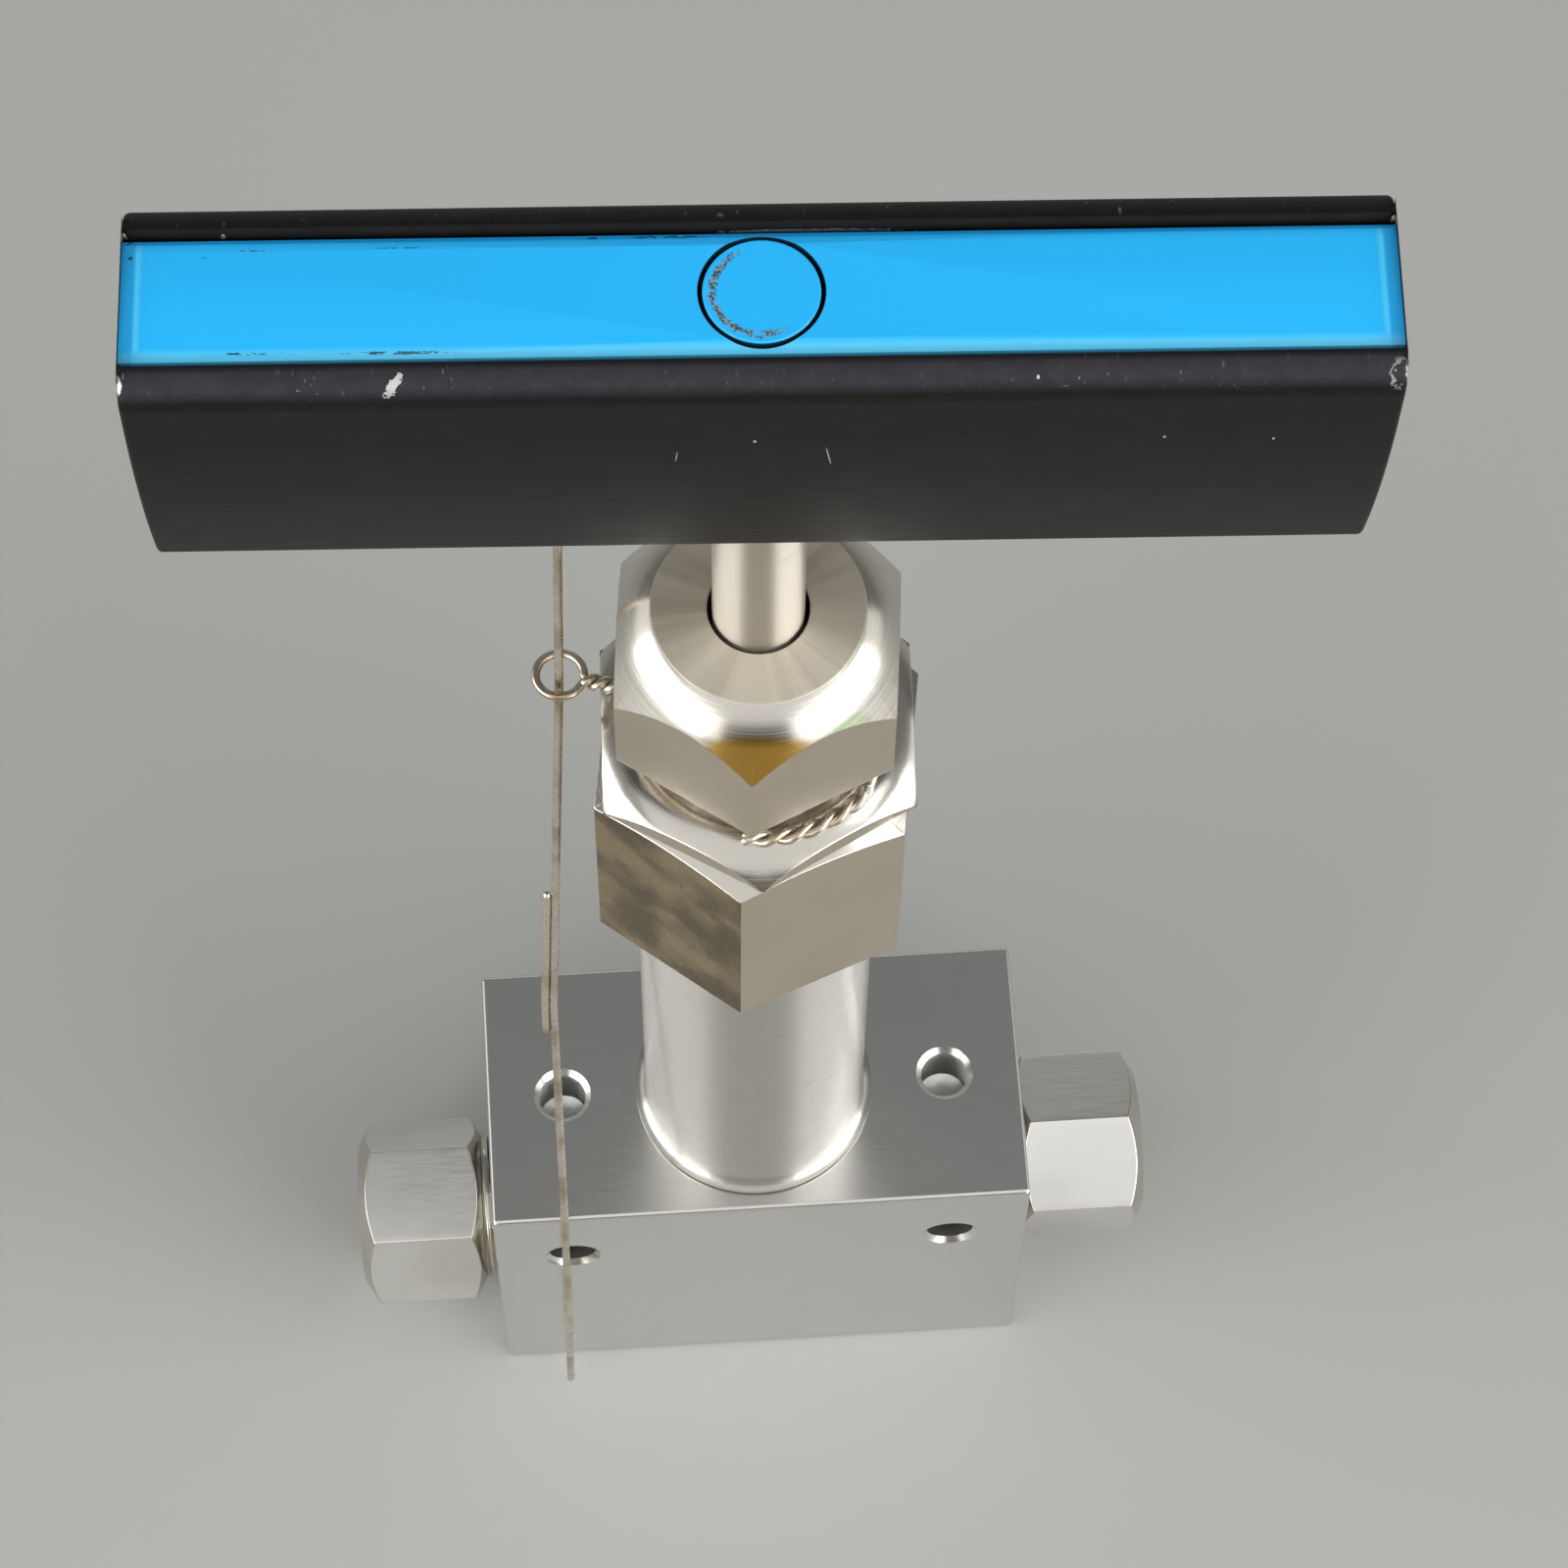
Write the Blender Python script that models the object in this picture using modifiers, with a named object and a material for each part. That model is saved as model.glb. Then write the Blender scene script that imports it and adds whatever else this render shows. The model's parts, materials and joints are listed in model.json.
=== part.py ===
"""High-pressure needle valve with an extended stuffing box, a two-piece stem and a T-bar handle.

Sizes are in metres. The origin is the centre of the block's bottom face, on the stem axis.
+X points to the outlet, -Y to the front and +Z up the stem. The valve is shown closed.
"""

import math

import bmesh
import bpy
from mathutils import Matrix, Vector

# Clearances between neighbours
GAP = 0.0003
RUNNING_CLEARANCE = 0.0004
CUT_MARGIN = 0.002

# Roundness of turned pieces and arcs
BROAD_STEPS = 48
SMALL_STEPS = 32
ARC_STEPS = 6
WIRE_RESOLUTION = 2
MERGE_DISTANCE = 0.000001

# Block
BODY_WIDTH = 0.0508
BODY_DEPTH = 0.0254
BODY_HEIGHT = 0.0381
BODY_EDGE = 0.0005
TOP_HOLE_SPACING = 0.0364
TOP_HOLE_RADIUS = 0.0022
TOP_HOLE_DEPTH = 0.0060
SIDE_HOLE_SPACING = 0.0362
SIDE_HOLE_RADIUS = 0.0022
SIDE_HOLE_DROP = 0.0096
COUNTERSINK = 0.0005

# Ports, tube nuts and collars
INLET_HEIGHT = 0.0095
OUTLET_HEIGHT = 0.0175
TUBE_RADIUS = 0.003175
FLOW_RADIUS = 0.0016
PORT_THREAD_RADIUS = 0.00714
PORT_THREAD_DEPTH = 0.0094
PORT_DEPTH = 0.0150
PORT_CONE_RADIUS = 0.0045
CONE_HALF_ANGLE = math.radians(30.0)
NUT_HEX = 0.0159
NUT_HEX_LENGTH = 0.0122
NUT_THREAD_LENGTH = 0.0090
NUT_CHAMFER = 0.0012
NUT_CHAMFER_LENGTH = 0.0010
INLET_NUT_STANDOFF = 0.0014
OUTLET_NUT_STANDOFF = 0.0003
INLET_NUT_TURN = math.radians(-10.0)
OUTLET_NUT_TURN = math.radians(23.0)
COLLAR_RADIUS = 0.0063
COLLAR_LENGTH = 0.0050
COLLAR_CHAMFER = 0.0010

# Seat and stem chamber
SEAT_HEIGHT = 0.0140
CHAMBER_RADIUS = 0.0042

# Stuffing box
SPIGOT_RADIUS = 0.0095
SPIGOT_LENGTH = 0.0113
NECK_RADIUS = 0.0103
NECK_LENGTH = 0.0527
BOX_HEX = 0.0254
BOX_HEX_LENGTH = 0.0251
BOX_HEX_TURN = math.radians(-8.8)
BOX_CHAMFER = 0.0020
HEX_CHAMFER_ANGLE = math.radians(27.0)

# Lock nut on the gland's thread
LOCK_NUT_HEX = 0.0254
LOCK_NUT_HEIGHT = 0.0028
LOCK_NUT_TURN = math.radians(-2.0)
LOCK_NUT_CHAMFER = 0.0022

# Packing gland
GLAND_HEX = 0.0222
GLAND_HEX_LENGTH = 0.0151
GLAND_HEX_TURN = math.radians(-5.8)
GLAND_STANDOFF = 0.0039
GLAND_THREAD_RADIUS = 0.0092
GLAND_THREAD_LENGTH = 0.0169
GLAND_TOP_RADIUS = 0.0084
GLAND_DOME_RADIUS = 0.0110
GLAND_DOME_DROP = 0.0028
GLAND_CONE_DROP = 0.0063

# Packing
FOLLOWER_FLANGE = 0.0011
FOLLOWER_NOSE = 0.0023
FOLLOWER_TAKE_UP = 0.0013
PACKING_RADIUS = 0.0069
PACKING_RING_HEIGHT = 0.0022
PACKING_RING_NAMES = ("packing_ring_lower", "packing_ring_middle", "packing_ring_upper")
PACKING_WASHER_HEIGHT = 0.0012

# Stem
NEEDLE_RADIUS = 0.00315
NEEDLE_HEAD_RADIUS = 0.0041
NEEDLE_HEAD_HEIGHT = 0.0022
THRUST_WASHER_HEIGHT = 0.0009
RETAINER_HEIGHT = 0.0020
STEM_RADIUS = 0.00363
STEM_THREAD_RADIUS = 0.00635
STEM_THREAD_LENGTH = 0.0140
STEM_THREAD_ENTRY = 0.0060
STEM_LEAD = 0.00127
STEM_TURNS = 4
STEM_STOP_MARGIN = 0.0008
STEM_EXPOSED = 0.0180
STEM_SQUARE = 0.0051
STEM_SQUARE_LENGTH = 0.0147

# Handle
HANDLE_REST_TURN = math.radians(-2.57)
HANDLE_LENGTH = 0.0889
HANDLE_WIDTH = 0.0181
HANDLE_PLATE_LEVEL = 0.0295
HANDLE_LIP_RISE = 0.0010
HANDLE_LIP_ROUND = 0.0007
HANDLE_SHOULDER_RADIUS = 0.0030
HANDLE_WIDEST_DROP = 0.0040
HANDLE_SIDE_RADIUS = 0.0700
HANDLE_FOOT_RADIUS = 0.0040
HANDLE_END_EDGE = 0.0005
PLATE_WIDTH = 0.00964
PLATE_THICKNESS = 0.0030
PLATE_DOVETAIL = 0.0008
PLUG_RADIUS = 0.00416
PLUG_EDGE = 0.0002
SCREW_RADIUS = 0.0015
SCREW_HEAD_RADIUS = 0.00275
SCREW_HEAD_HEIGHT = 0.0030
SCREW_SOCKET_RADIUS = 0.0014
SCREW_SOCKET_DEPTH = 0.0015
SCREW_ENGAGEMENT = 0.0080
SCREW_TAP_SPARE = 0.0020
LOCK_WASHER_HEIGHT = 0.0008

# Tag wire and its tie
WIRE_RADIUS = 0.00037
TIE_EYE_CENTRE = (-0.0158, 0.0036)
TIE_EYE_RADIUS = 0.00195
TIE_SHANK_Y = 0.0018
TIE_SHANK_SPREAD = 0.00055
TIE_DROP = 0.00215
TIE_TAIL_RADIUS = 0.0113
TIE_TAIL_DROP = 0.0035
TIE_TAIL_START = math.radians(-100.0)
TIE_TAIL_END = math.radians(-42.0)
TIE_TAIL_JOIN = math.radians(-10.0)
TIE_FRONT_END = math.radians(325.0)
TIE_STEP = math.radians(12.0)
TAG_WIRE_TOP = 0.0280
TAG_WIRE_BOTTOM = 0.0008
TAG_WIRE_EDGE_X = -0.0186
TAG_WIRE_FOOT = (-0.0192, -0.0157)
TAG_WIRE_EYE_OFFSET = (-0.0001, -0.0009)
TAG_WIRE_BEND = -0.0008
TAG_WIRE_BEND_HEIGHT = 0.0370
TAG_WIRE_SPLICE_LOW = 0.0330
TAG_WIRE_SPLICE_HIGH = 0.0540
TAG_WIRE_SPLICE_STEP = 0.0011

# Levels up the stem axis
BODY_TOP = BODY_HEIGHT
BOX_HEX_BOTTOM = BODY_TOP + NECK_LENGTH
BOX_TOP = BOX_HEX_BOTTOM + BOX_HEX_LENGTH
LOCK_NUT_BOTTOM = BOX_TOP + GAP
LOCK_NUT_TOP = LOCK_NUT_BOTTOM + LOCK_NUT_HEIGHT
GLAND_HEX_BOTTOM = LOCK_NUT_TOP + GLAND_STANDOFF
GLAND_TOP = GLAND_HEX_BOTTOM + GLAND_HEX_LENGTH
GLAND_BOTTOM = GLAND_HEX_BOTTOM - GLAND_THREAD_LENGTH
FOLLOWER_TOP = GLAND_BOTTOM - GAP
FOLLOWER_STEP = FOLLOWER_TOP - FOLLOWER_FLANGE
FOLLOWER_BOTTOM = FOLLOWER_STEP - FOLLOWER_NOSE
PACKING_TOP = FOLLOWER_BOTTOM - GAP
PACKING_STACK = len(PACKING_RING_NAMES) * (PACKING_RING_HEIGHT + GAP)
PACKING_WASHER_TOP = PACKING_TOP - PACKING_STACK
PACKING_FLOOR = PACKING_WASHER_TOP - PACKING_WASHER_HEIGHT - GAP
STEM_THREAD_BOTTOM = GLAND_BOTTOM + STEM_THREAD_ENTRY
STEM_THREAD_TOP = STEM_THREAD_BOTTOM + STEM_THREAD_LENGTH
STEM_TRAVEL = STEM_LEAD * STEM_TURNS
GLAND_SHOULDER = STEM_THREAD_TOP + STEM_TRAVEL + STEM_STOP_MARGIN
RETAINER_TOP = STEM_THREAD_BOTTOM + RETAINER_HEIGHT
NEEDLE_HEAD_BOTTOM = RETAINER_TOP + GAP
NEEDLE_HEAD_TOP = NEEDLE_HEAD_BOTTOM + NEEDLE_HEAD_HEIGHT
THRUST_WASHER_BOTTOM = NEEDLE_HEAD_TOP + GAP
STEM_SOCKET_TOP = THRUST_WASHER_BOTTOM + THRUST_WASHER_HEIGHT + GAP
HANDLE_BOTTOM = GLAND_TOP + STEM_EXPOSED

# Radii that follow a neighbour
BORE_SPIGOT = SPIGOT_RADIUS + GAP
BORE_PORT_THREAD = PORT_THREAD_RADIUS + GAP
BORE_COLLAR = COLLAR_RADIUS + GAP
BORE_TUBE = TUBE_RADIUS + GAP
BORE_NEEDLE = NEEDLE_RADIUS + RUNNING_CLEARANCE
BORE_GLAND_THREAD = GLAND_THREAD_RADIUS + GAP
BORE_PACKING = PACKING_RADIUS + GAP
BORE_STEM_THREAD = STEM_THREAD_RADIUS + GAP
BORE_STEM_SOCKET = NEEDLE_HEAD_RADIUS + RUNNING_CLEARANCE
BORE_SCREW = SCREW_RADIUS + GAP

# Finishes: linear red, green and blue, then roughness and metallic value
GROUND_STEEL = ((0.68, 0.68, 0.66), 0.32, 1.0)
TURNED_STEEL = ((0.68, 0.65, 0.58), 0.34, 1.0)
POLISHED_STEEL = ((0.74, 0.71, 0.65), 0.25, 1.0)
BLACK_ANODISE = ((0.010, 0.010, 0.010), 0.42, 0.0)
BLUE_ACRYLIC = ((0.022, 0.450, 0.920), 0.15, 0.0)
GRAPHITE = ((0.060, 0.060, 0.065), 0.55, 0.0)
WIRE_STEEL = ((0.60, 0.55, 0.46), 0.30, 1.0)


def clear_scene():
    for existing in list(bpy.data.objects):
        bpy.data.objects.remove(existing)


def new_collection(name):
    collection = bpy.data.collections.new(name)
    bpy.context.scene.collection.children.link(collection)
    return collection


def finish_material(name, colour, roughness, metallic):
    material = bpy.data.materials.new(name)
    material.use_nodes = True
    shader = material.node_tree.nodes["Principled BSDF"]
    shader.inputs["Base Color"].default_value = (*colour, 1.0)
    shader.inputs["Roughness"].default_value = roughness
    shader.inputs["Metallic"].default_value = metallic
    return material


def arc(centre, radius, start, end, steps=ARC_STEPS):
    """Points on an arc, both ends included, with angles in degrees."""
    points = []
    for step in range(steps + 1):
        angle = math.radians(start + (end - start) * step / steps)
        points.append((centre[0] + radius * math.cos(angle), centre[1] + radius * math.sin(angle)))
    return points


def corner_radius(across_flats, sides):
    return across_flats / 2 / math.cos(math.pi / sides)


def turned(name, profile, collection, steps=BROAD_STEPS):
    """Turns a profile of (radius, height) points about Z.

    The profile runs down the outside. It starts and ends on the axis, or goes back up a bore."""
    solid = profile[0][0] == 0 and profile[-1][0] == 0
    shape = bmesh.new()
    vertices = [shape.verts.new((radius, 0, height)) for radius, height in profile]
    following = vertices[1:] if solid else vertices[1:] + vertices[:1]
    for start, end in zip(vertices, following):
        shape.edges.new((start, end))
    mesh = bpy.data.meshes.new(name)
    shape.to_mesh(mesh)
    shape.free()
    item = bpy.data.objects.new(name, mesh)
    collection.objects.link(item)
    screw = item.modifiers.new("Turn", "SCREW")
    screw.steps = steps
    screw.render_steps = steps
    screw.use_merge_vertices = True
    screw.merge_threshold = MERGE_DISTANCE
    screw.use_smooth_shade = True
    return item


def block(name, size, centre, collection):
    shape = bmesh.new()
    bmesh.ops.create_cube(shape, size=1, matrix=Matrix.Translation(centre) @ Matrix.Diagonal((*size, 1)))
    mesh = bpy.data.meshes.new(name)
    shape.to_mesh(mesh)
    shape.free()
    item = bpy.data.objects.new(name, mesh)
    collection.objects.link(item)
    return item


def extruded(name, outline, length, collection, edge=0.0):
    """Extrudes an outline of (y, z) points along X, centred, with its end edges rounded by edge."""
    data = bpy.data.curves.new(name, "CURVE")
    data.dimensions = "2D"
    data.fill_mode = "BOTH"
    data.extrude = length / 2 - edge
    data.bevel_depth = edge
    data.bevel_resolution = 1
    data.offset = -edge
    spline = data.splines.new("POLY")
    spline.points.add(len(outline) - 1)
    for point, (y, z) in zip(spline.points, outline):
        point.co = (y, z, 0, 1)
    spline.use_cyclic_u = True
    curve = bpy.data.objects.new(name + "_outline", data)
    collection.objects.link(curve)
    curve.rotation_euler = (math.pi / 2, 0, math.pi / 2)
    bpy.context.view_layer.update()
    evaluated = curve.evaluated_get(bpy.context.evaluated_depsgraph_get())
    mesh = bpy.data.meshes.new_from_object(evaluated)
    mesh.transform(curve.matrix_world)
    bpy.data.objects.remove(curve)
    shape = bmesh.new()
    shape.from_mesh(mesh)
    bmesh.ops.remove_doubles(shape, verts=shape.verts, dist=MERGE_DISTANCE)
    bmesh.ops.recalc_face_normals(shape, faces=shape.faces)
    shape.to_mesh(mesh)
    shape.free()
    item = bpy.data.objects.new(name, mesh)
    collection.objects.link(item)
    return item


def wire(name, path, collection):
    data = bpy.data.curves.new(name, "CURVE")
    data.dimensions = "3D"
    data.bevel_depth = WIRE_RADIUS
    data.bevel_resolution = WIRE_RESOLUTION
    data.use_fill_caps = True
    spline = data.splines.new("POLY")
    spline.points.add(len(path) - 1)
    for point, place in zip(spline.points, path):
        point.co = (*place, 1)
    item = bpy.data.objects.new(name, data)
    collection.objects.link(item)
    return item


def cut(item, cutter):
    cutter.hide_render = True
    cutter.display_type = "WIRE"
    boolean = item.modifiers.new("Cut " + cutter.name, "BOOLEAN")
    boolean.operation = "DIFFERENCE"
    boolean.solver = "EXACT"
    boolean.object = cutter


def flats_cutter(name, across_flats, sides, stock_radius, bottom, top, turn, cutters):
    """A ring with a polygonal hole, which leaves flats on round stock. One corner faces -Y plus turn."""
    inner = corner_radius(across_flats, sides)
    outer = corner_radius(2 * (stock_radius + CUT_MARGIN), sides)
    profile = [(outer, top), (outer, bottom), (inner, bottom), (inner, top)]
    ring = turned(name, profile, cutters, steps=sides)
    ring.rotation_euler.z = turn - math.pi / 2
    return ring


def dress(item, finish, parent=None):
    """Gives a piece its own material and hangs it on its parent without moving it from there."""
    item.data.materials.append(finish_material(item.name, *finish))
    if parent:
        item.parent = parent
    return item


def port_cutter(name, side, height, cutters):
    """Threaded mouth, collar bore, coned seat and flow passage of one port, cut from outside in."""
    cone_length = (PORT_CONE_RADIUS - FLOW_RADIUS) / math.tan(CONE_HALF_ANGLE)
    profile = [
        (0, CUT_MARGIN),
        (BORE_PORT_THREAD, CUT_MARGIN),
        (BORE_PORT_THREAD, -PORT_THREAD_DEPTH),
        (BORE_COLLAR, -PORT_THREAD_DEPTH),
        (BORE_COLLAR, -PORT_DEPTH),
        (PORT_CONE_RADIUS, -PORT_DEPTH),
        (FLOW_RADIUS, -PORT_DEPTH - cone_length),
        (FLOW_RADIUS, -BODY_WIDTH / 2),
        (0, -BODY_WIDTH / 2),
    ]
    cutter = turned(name, profile, cutters, SMALL_STEPS)
    cutter.location = (side * BODY_WIDTH / 2, 0, height)
    cutter.rotation_euler.y = side * math.pi / 2
    return cutter


def hole_profile(radius, depth, through=False):
    """A countersunk hole that goes down from height 0."""
    profile = [
        (0, CUT_MARGIN),
        (radius + COUNTERSINK + CUT_MARGIN, CUT_MARGIN),
        (radius, -COUNTERSINK),
        (radius, -depth),
    ]
    if through:
        profile[-1] = (radius, -depth + COUNTERSINK)
        profile.append((radius + COUNTERSINK + CUT_MARGIN, -depth - CUT_MARGIN))
        profile.append((0, -depth - CUT_MARGIN))
    else:
        profile.append((0, -depth - radius * math.tan(CONE_HALF_ANGLE)))
    return profile


def make_body(parts, cutters):
    body = block("body", (BODY_WIDTH, BODY_DEPTH, BODY_HEIGHT), (0, 0, BODY_HEIGHT / 2), parts)
    edges = body.modifiers.new("Edges", "BEVEL")
    edges.width = BODY_EDGE
    edges.segments = 1

    spigot_floor = BODY_TOP - SPIGOT_LENGTH - GAP
    seat_top = SEAT_HEIGHT + (CHAMBER_RADIUS - FLOW_RADIUS) / math.tan(CONE_HALF_ANGLE)
    stem_bore = [
        (0, BODY_TOP + CUT_MARGIN),
        (BORE_SPIGOT, BODY_TOP + CUT_MARGIN),
        (BORE_SPIGOT, spigot_floor),
        (CHAMBER_RADIUS, spigot_floor),
        (CHAMBER_RADIUS, seat_top),
        (FLOW_RADIUS, SEAT_HEIGHT),
        (FLOW_RADIUS, INLET_HEIGHT),
        (0, INLET_HEIGHT),
    ]
    cut(body, turned("cut_stem_bore", stem_bore, cutters))
    cut(body, port_cutter("cut_inlet", -1, INLET_HEIGHT, cutters))
    cut(body, port_cutter("cut_outlet", 1, OUTLET_HEIGHT, cutters))

    for side, word in ((-1, "left"), (1, "right")):
        top_profile = hole_profile(TOP_HOLE_RADIUS, TOP_HOLE_DEPTH)
        top_hole = turned("cut_top_hole_" + word, top_profile, cutters, SMALL_STEPS)
        top_hole.location = (side * TOP_HOLE_SPACING / 2, 0, BODY_TOP)
        cut(body, top_hole)
        side_profile = hole_profile(SIDE_HOLE_RADIUS, BODY_DEPTH, through=True)
        side_hole = turned("cut_side_hole_" + word, side_profile, cutters, SMALL_STEPS)
        side_hole.location = (side * SIDE_HOLE_SPACING / 2, -BODY_DEPTH / 2, BODY_TOP - SIDE_HOLE_DROP)
        side_hole.rotation_euler.x = math.pi / 2
        cut(body, side_hole)
    dress(body, GROUND_STEEL)


def make_tube_connection(word, side, height, standoff, turn, parts, cutters):
    """One tube nut, screwed in as far as its standoff, and the collar that waits inside it."""
    hex_radius = corner_radius(NUT_HEX, 6) + GAP
    nut_profile = [
        (NUT_HEX / 2 - NUT_CHAMFER, standoff + NUT_HEX_LENGTH),
        (hex_radius, standoff + NUT_HEX_LENGTH - NUT_CHAMFER_LENGTH - NUT_CHAMFER),
        (hex_radius, standoff + NUT_CHAMFER),
        (NUT_HEX / 2, standoff),
        (PORT_THREAD_RADIUS, standoff),
        (PORT_THREAD_RADIUS, standoff - NUT_THREAD_LENGTH),
        (BORE_TUBE, standoff - NUT_THREAD_LENGTH),
        (BORE_TUBE, standoff + NUT_HEX_LENGTH),
    ]
    nut = turned(word + "_gland_nut", nut_profile, parts, SMALL_STEPS)
    flats = flats_cutter(
        "cut_" + word + "_nut", NUT_HEX, 6, hex_radius, standoff - GAP,
        standoff + NUT_HEX_LENGTH + CUT_MARGIN, -side * turn, cutters,
    )
    flats.parent = nut
    cut(nut, flats)

    collar_bottom = -PORT_DEPTH + GAP
    collar_top = collar_bottom + COLLAR_LENGTH
    collar_profile = [
        (COLLAR_RADIUS - COLLAR_CHAMFER, collar_top),
        (COLLAR_RADIUS, collar_top - COLLAR_CHAMFER),
        (COLLAR_RADIUS, collar_bottom),
        (BORE_TUBE, collar_bottom),
        (BORE_TUBE, collar_top),
    ]
    collar = turned(word + "_collar", collar_profile, parts, SMALL_STEPS)
    for piece in (nut, collar):
        piece.location = (side * BODY_WIDTH / 2, 0, height)
        piece.rotation_euler.y = side * math.pi / 2
    dress(nut, TURNED_STEEL)
    dress(collar, TURNED_STEEL)


def make_stuffing_box(parts, cutters):
    hex_radius = corner_radius(BOX_HEX, 6) + GAP
    chamfer_start = BOX_HEX / 2 - BOX_CHAMFER
    chamfer_drop = (hex_radius - chamfer_start) * math.tan(HEX_CHAMFER_ANGLE)
    follower_floor = FOLLOWER_STEP - FOLLOWER_TAKE_UP
    profile = [
        (chamfer_start, BOX_TOP),
        (hex_radius, BOX_TOP - chamfer_drop),
        (hex_radius, BOX_HEX_BOTTOM),
        (NECK_RADIUS, BOX_HEX_BOTTOM),
        (NECK_RADIUS, BODY_TOP + GAP),
        (SPIGOT_RADIUS, BODY_TOP + GAP),
        (SPIGOT_RADIUS, BODY_TOP - SPIGOT_LENGTH),
        (BORE_NEEDLE, BODY_TOP - SPIGOT_LENGTH),
        (BORE_NEEDLE, PACKING_FLOOR),
        (BORE_PACKING, PACKING_FLOOR),
        (BORE_PACKING, follower_floor),
        (BORE_GLAND_THREAD, follower_floor),
        (BORE_GLAND_THREAD, BOX_TOP),
    ]
    box = turned("stuffing_box", profile, parts)
    flats = flats_cutter(
        "cut_box_hex", BOX_HEX, 6, hex_radius, BOX_HEX_BOTTOM - GAP, BOX_TOP + CUT_MARGIN,
        BOX_HEX_TURN, cutters,
    )
    cut(box, flats)
    dress(box, TURNED_STEEL)


def make_lock_nut(parts, cutters):
    """The thin nut that jams the packing gland against the stuffing box."""
    hex_radius = corner_radius(LOCK_NUT_HEX, 6) + GAP
    chamfer_start = LOCK_NUT_HEX / 2 - LOCK_NUT_CHAMFER
    chamfer_drop = (hex_radius - chamfer_start) * math.tan(HEX_CHAMFER_ANGLE)
    profile = [
        (chamfer_start, LOCK_NUT_TOP),
        (hex_radius, LOCK_NUT_TOP - chamfer_drop),
        (hex_radius, LOCK_NUT_BOTTOM),
        (BORE_GLAND_THREAD, LOCK_NUT_BOTTOM),
        (BORE_GLAND_THREAD, LOCK_NUT_TOP),
    ]
    nut = turned("gland_lock_nut", profile, parts)
    flats = flats_cutter(
        "cut_lock_nut", LOCK_NUT_HEX, 6, hex_radius, LOCK_NUT_BOTTOM - GAP, LOCK_NUT_TOP + CUT_MARGIN,
        LOCK_NUT_TURN, cutters,
    )
    cut(nut, flats)
    dress(nut, TURNED_STEEL)


def make_packing_gland(parts, cutters):
    """The gland: a flat top, a dome that runs smoothly into a steep cone, and a hexagon on a threaded shank."""
    hex_radius = corner_radius(GLAND_HEX, 6) + GAP
    dome_width = GLAND_DOME_RADIUS - GLAND_TOP_RADIUS
    cone_tilt = math.atan2(GLAND_CONE_DROP - GLAND_DOME_DROP, hex_radius - GLAND_DOME_RADIUS)
    half_sweep = cone_tilt - math.atan2(GLAND_DOME_DROP, dome_width)
    dome_curve = math.hypot(dome_width, GLAND_DOME_DROP) / (2 * math.sin(half_sweep))
    dome_centre = (GLAND_DOME_RADIUS - dome_curve * math.sin(cone_tilt),
                   GLAND_TOP - GLAND_DOME_DROP - dome_curve * math.cos(cone_tilt))
    dome_start = math.degrees(cone_tilt - 2 * half_sweep)
    dome = arc(dome_centre, dome_curve, 90 - dome_start, 90 - math.degrees(cone_tilt))
    mouth = STEM_RADIUS + RUNNING_CLEARANCE
    profile = dome + [
        (hex_radius, GLAND_TOP - GLAND_CONE_DROP),
        (hex_radius, GLAND_HEX_BOTTOM),
        (GLAND_THREAD_RADIUS, GLAND_HEX_BOTTOM),
        (GLAND_THREAD_RADIUS, GLAND_BOTTOM),
        (BORE_STEM_THREAD, GLAND_BOTTOM),
        (BORE_STEM_THREAD, GLAND_SHOULDER),
        (mouth, GLAND_SHOULDER),
        (mouth, GLAND_TOP),
    ]
    gland = turned("packing_gland", profile, parts)
    flats = flats_cutter(
        "cut_gland_hex", GLAND_HEX, 6, hex_radius, GLAND_HEX_BOTTOM - GAP, GLAND_TOP + CUT_MARGIN,
        GLAND_HEX_TURN, cutters,
    )
    cut(gland, flats)
    dress(gland, TURNED_STEEL)


def make_packing(parts):
    follower_profile = [
        (GLAND_THREAD_RADIUS, FOLLOWER_TOP),
        (GLAND_THREAD_RADIUS, FOLLOWER_STEP),
        (PACKING_RADIUS, FOLLOWER_STEP),
        (PACKING_RADIUS, FOLLOWER_BOTTOM),
        (BORE_NEEDLE, FOLLOWER_BOTTOM),
        (BORE_NEEDLE, FOLLOWER_TOP),
    ]
    dress(turned("packing_follower", follower_profile, parts, SMALL_STEPS), TURNED_STEEL)

    def ring(name, bottom, height):
        profile = [
            (PACKING_RADIUS, bottom + height),
            (PACKING_RADIUS, bottom),
            (BORE_NEEDLE, bottom),
            (BORE_NEEDLE, bottom + height),
        ]
        return turned(name, profile, parts, SMALL_STEPS)

    for place, name in enumerate(PACKING_RING_NAMES):
        bottom = PACKING_WASHER_TOP + GAP + place * (PACKING_RING_HEIGHT + GAP)
        dress(ring(name, bottom, PACKING_RING_HEIGHT), GRAPHITE)
    washer = ring("packing_washer", PACKING_WASHER_TOP - PACKING_WASHER_HEIGHT, PACKING_WASHER_HEIGHT)
    dress(washer, TURNED_STEEL)


def make_needle(parts):
    """The lower stem: a coned tip that stands GAP off the coned seat, a long shank and a button head."""
    slope = 1 / math.tan(CONE_HALF_ANGLE)
    tip = SEAT_HEIGHT - FLOW_RADIUS * slope + GAP / math.sin(CONE_HALF_ANGLE)
    profile = [
        (0, NEEDLE_HEAD_TOP),
        (NEEDLE_HEAD_RADIUS, NEEDLE_HEAD_TOP),
        (NEEDLE_HEAD_RADIUS, NEEDLE_HEAD_BOTTOM),
        (NEEDLE_RADIUS, NEEDLE_HEAD_BOTTOM),
        (NEEDLE_RADIUS, tip + NEEDLE_RADIUS * slope),
        (0, tip),
    ]
    dress(turned("lower_stem", profile, parts, SMALL_STEPS), POLISHED_STEEL)


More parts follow.
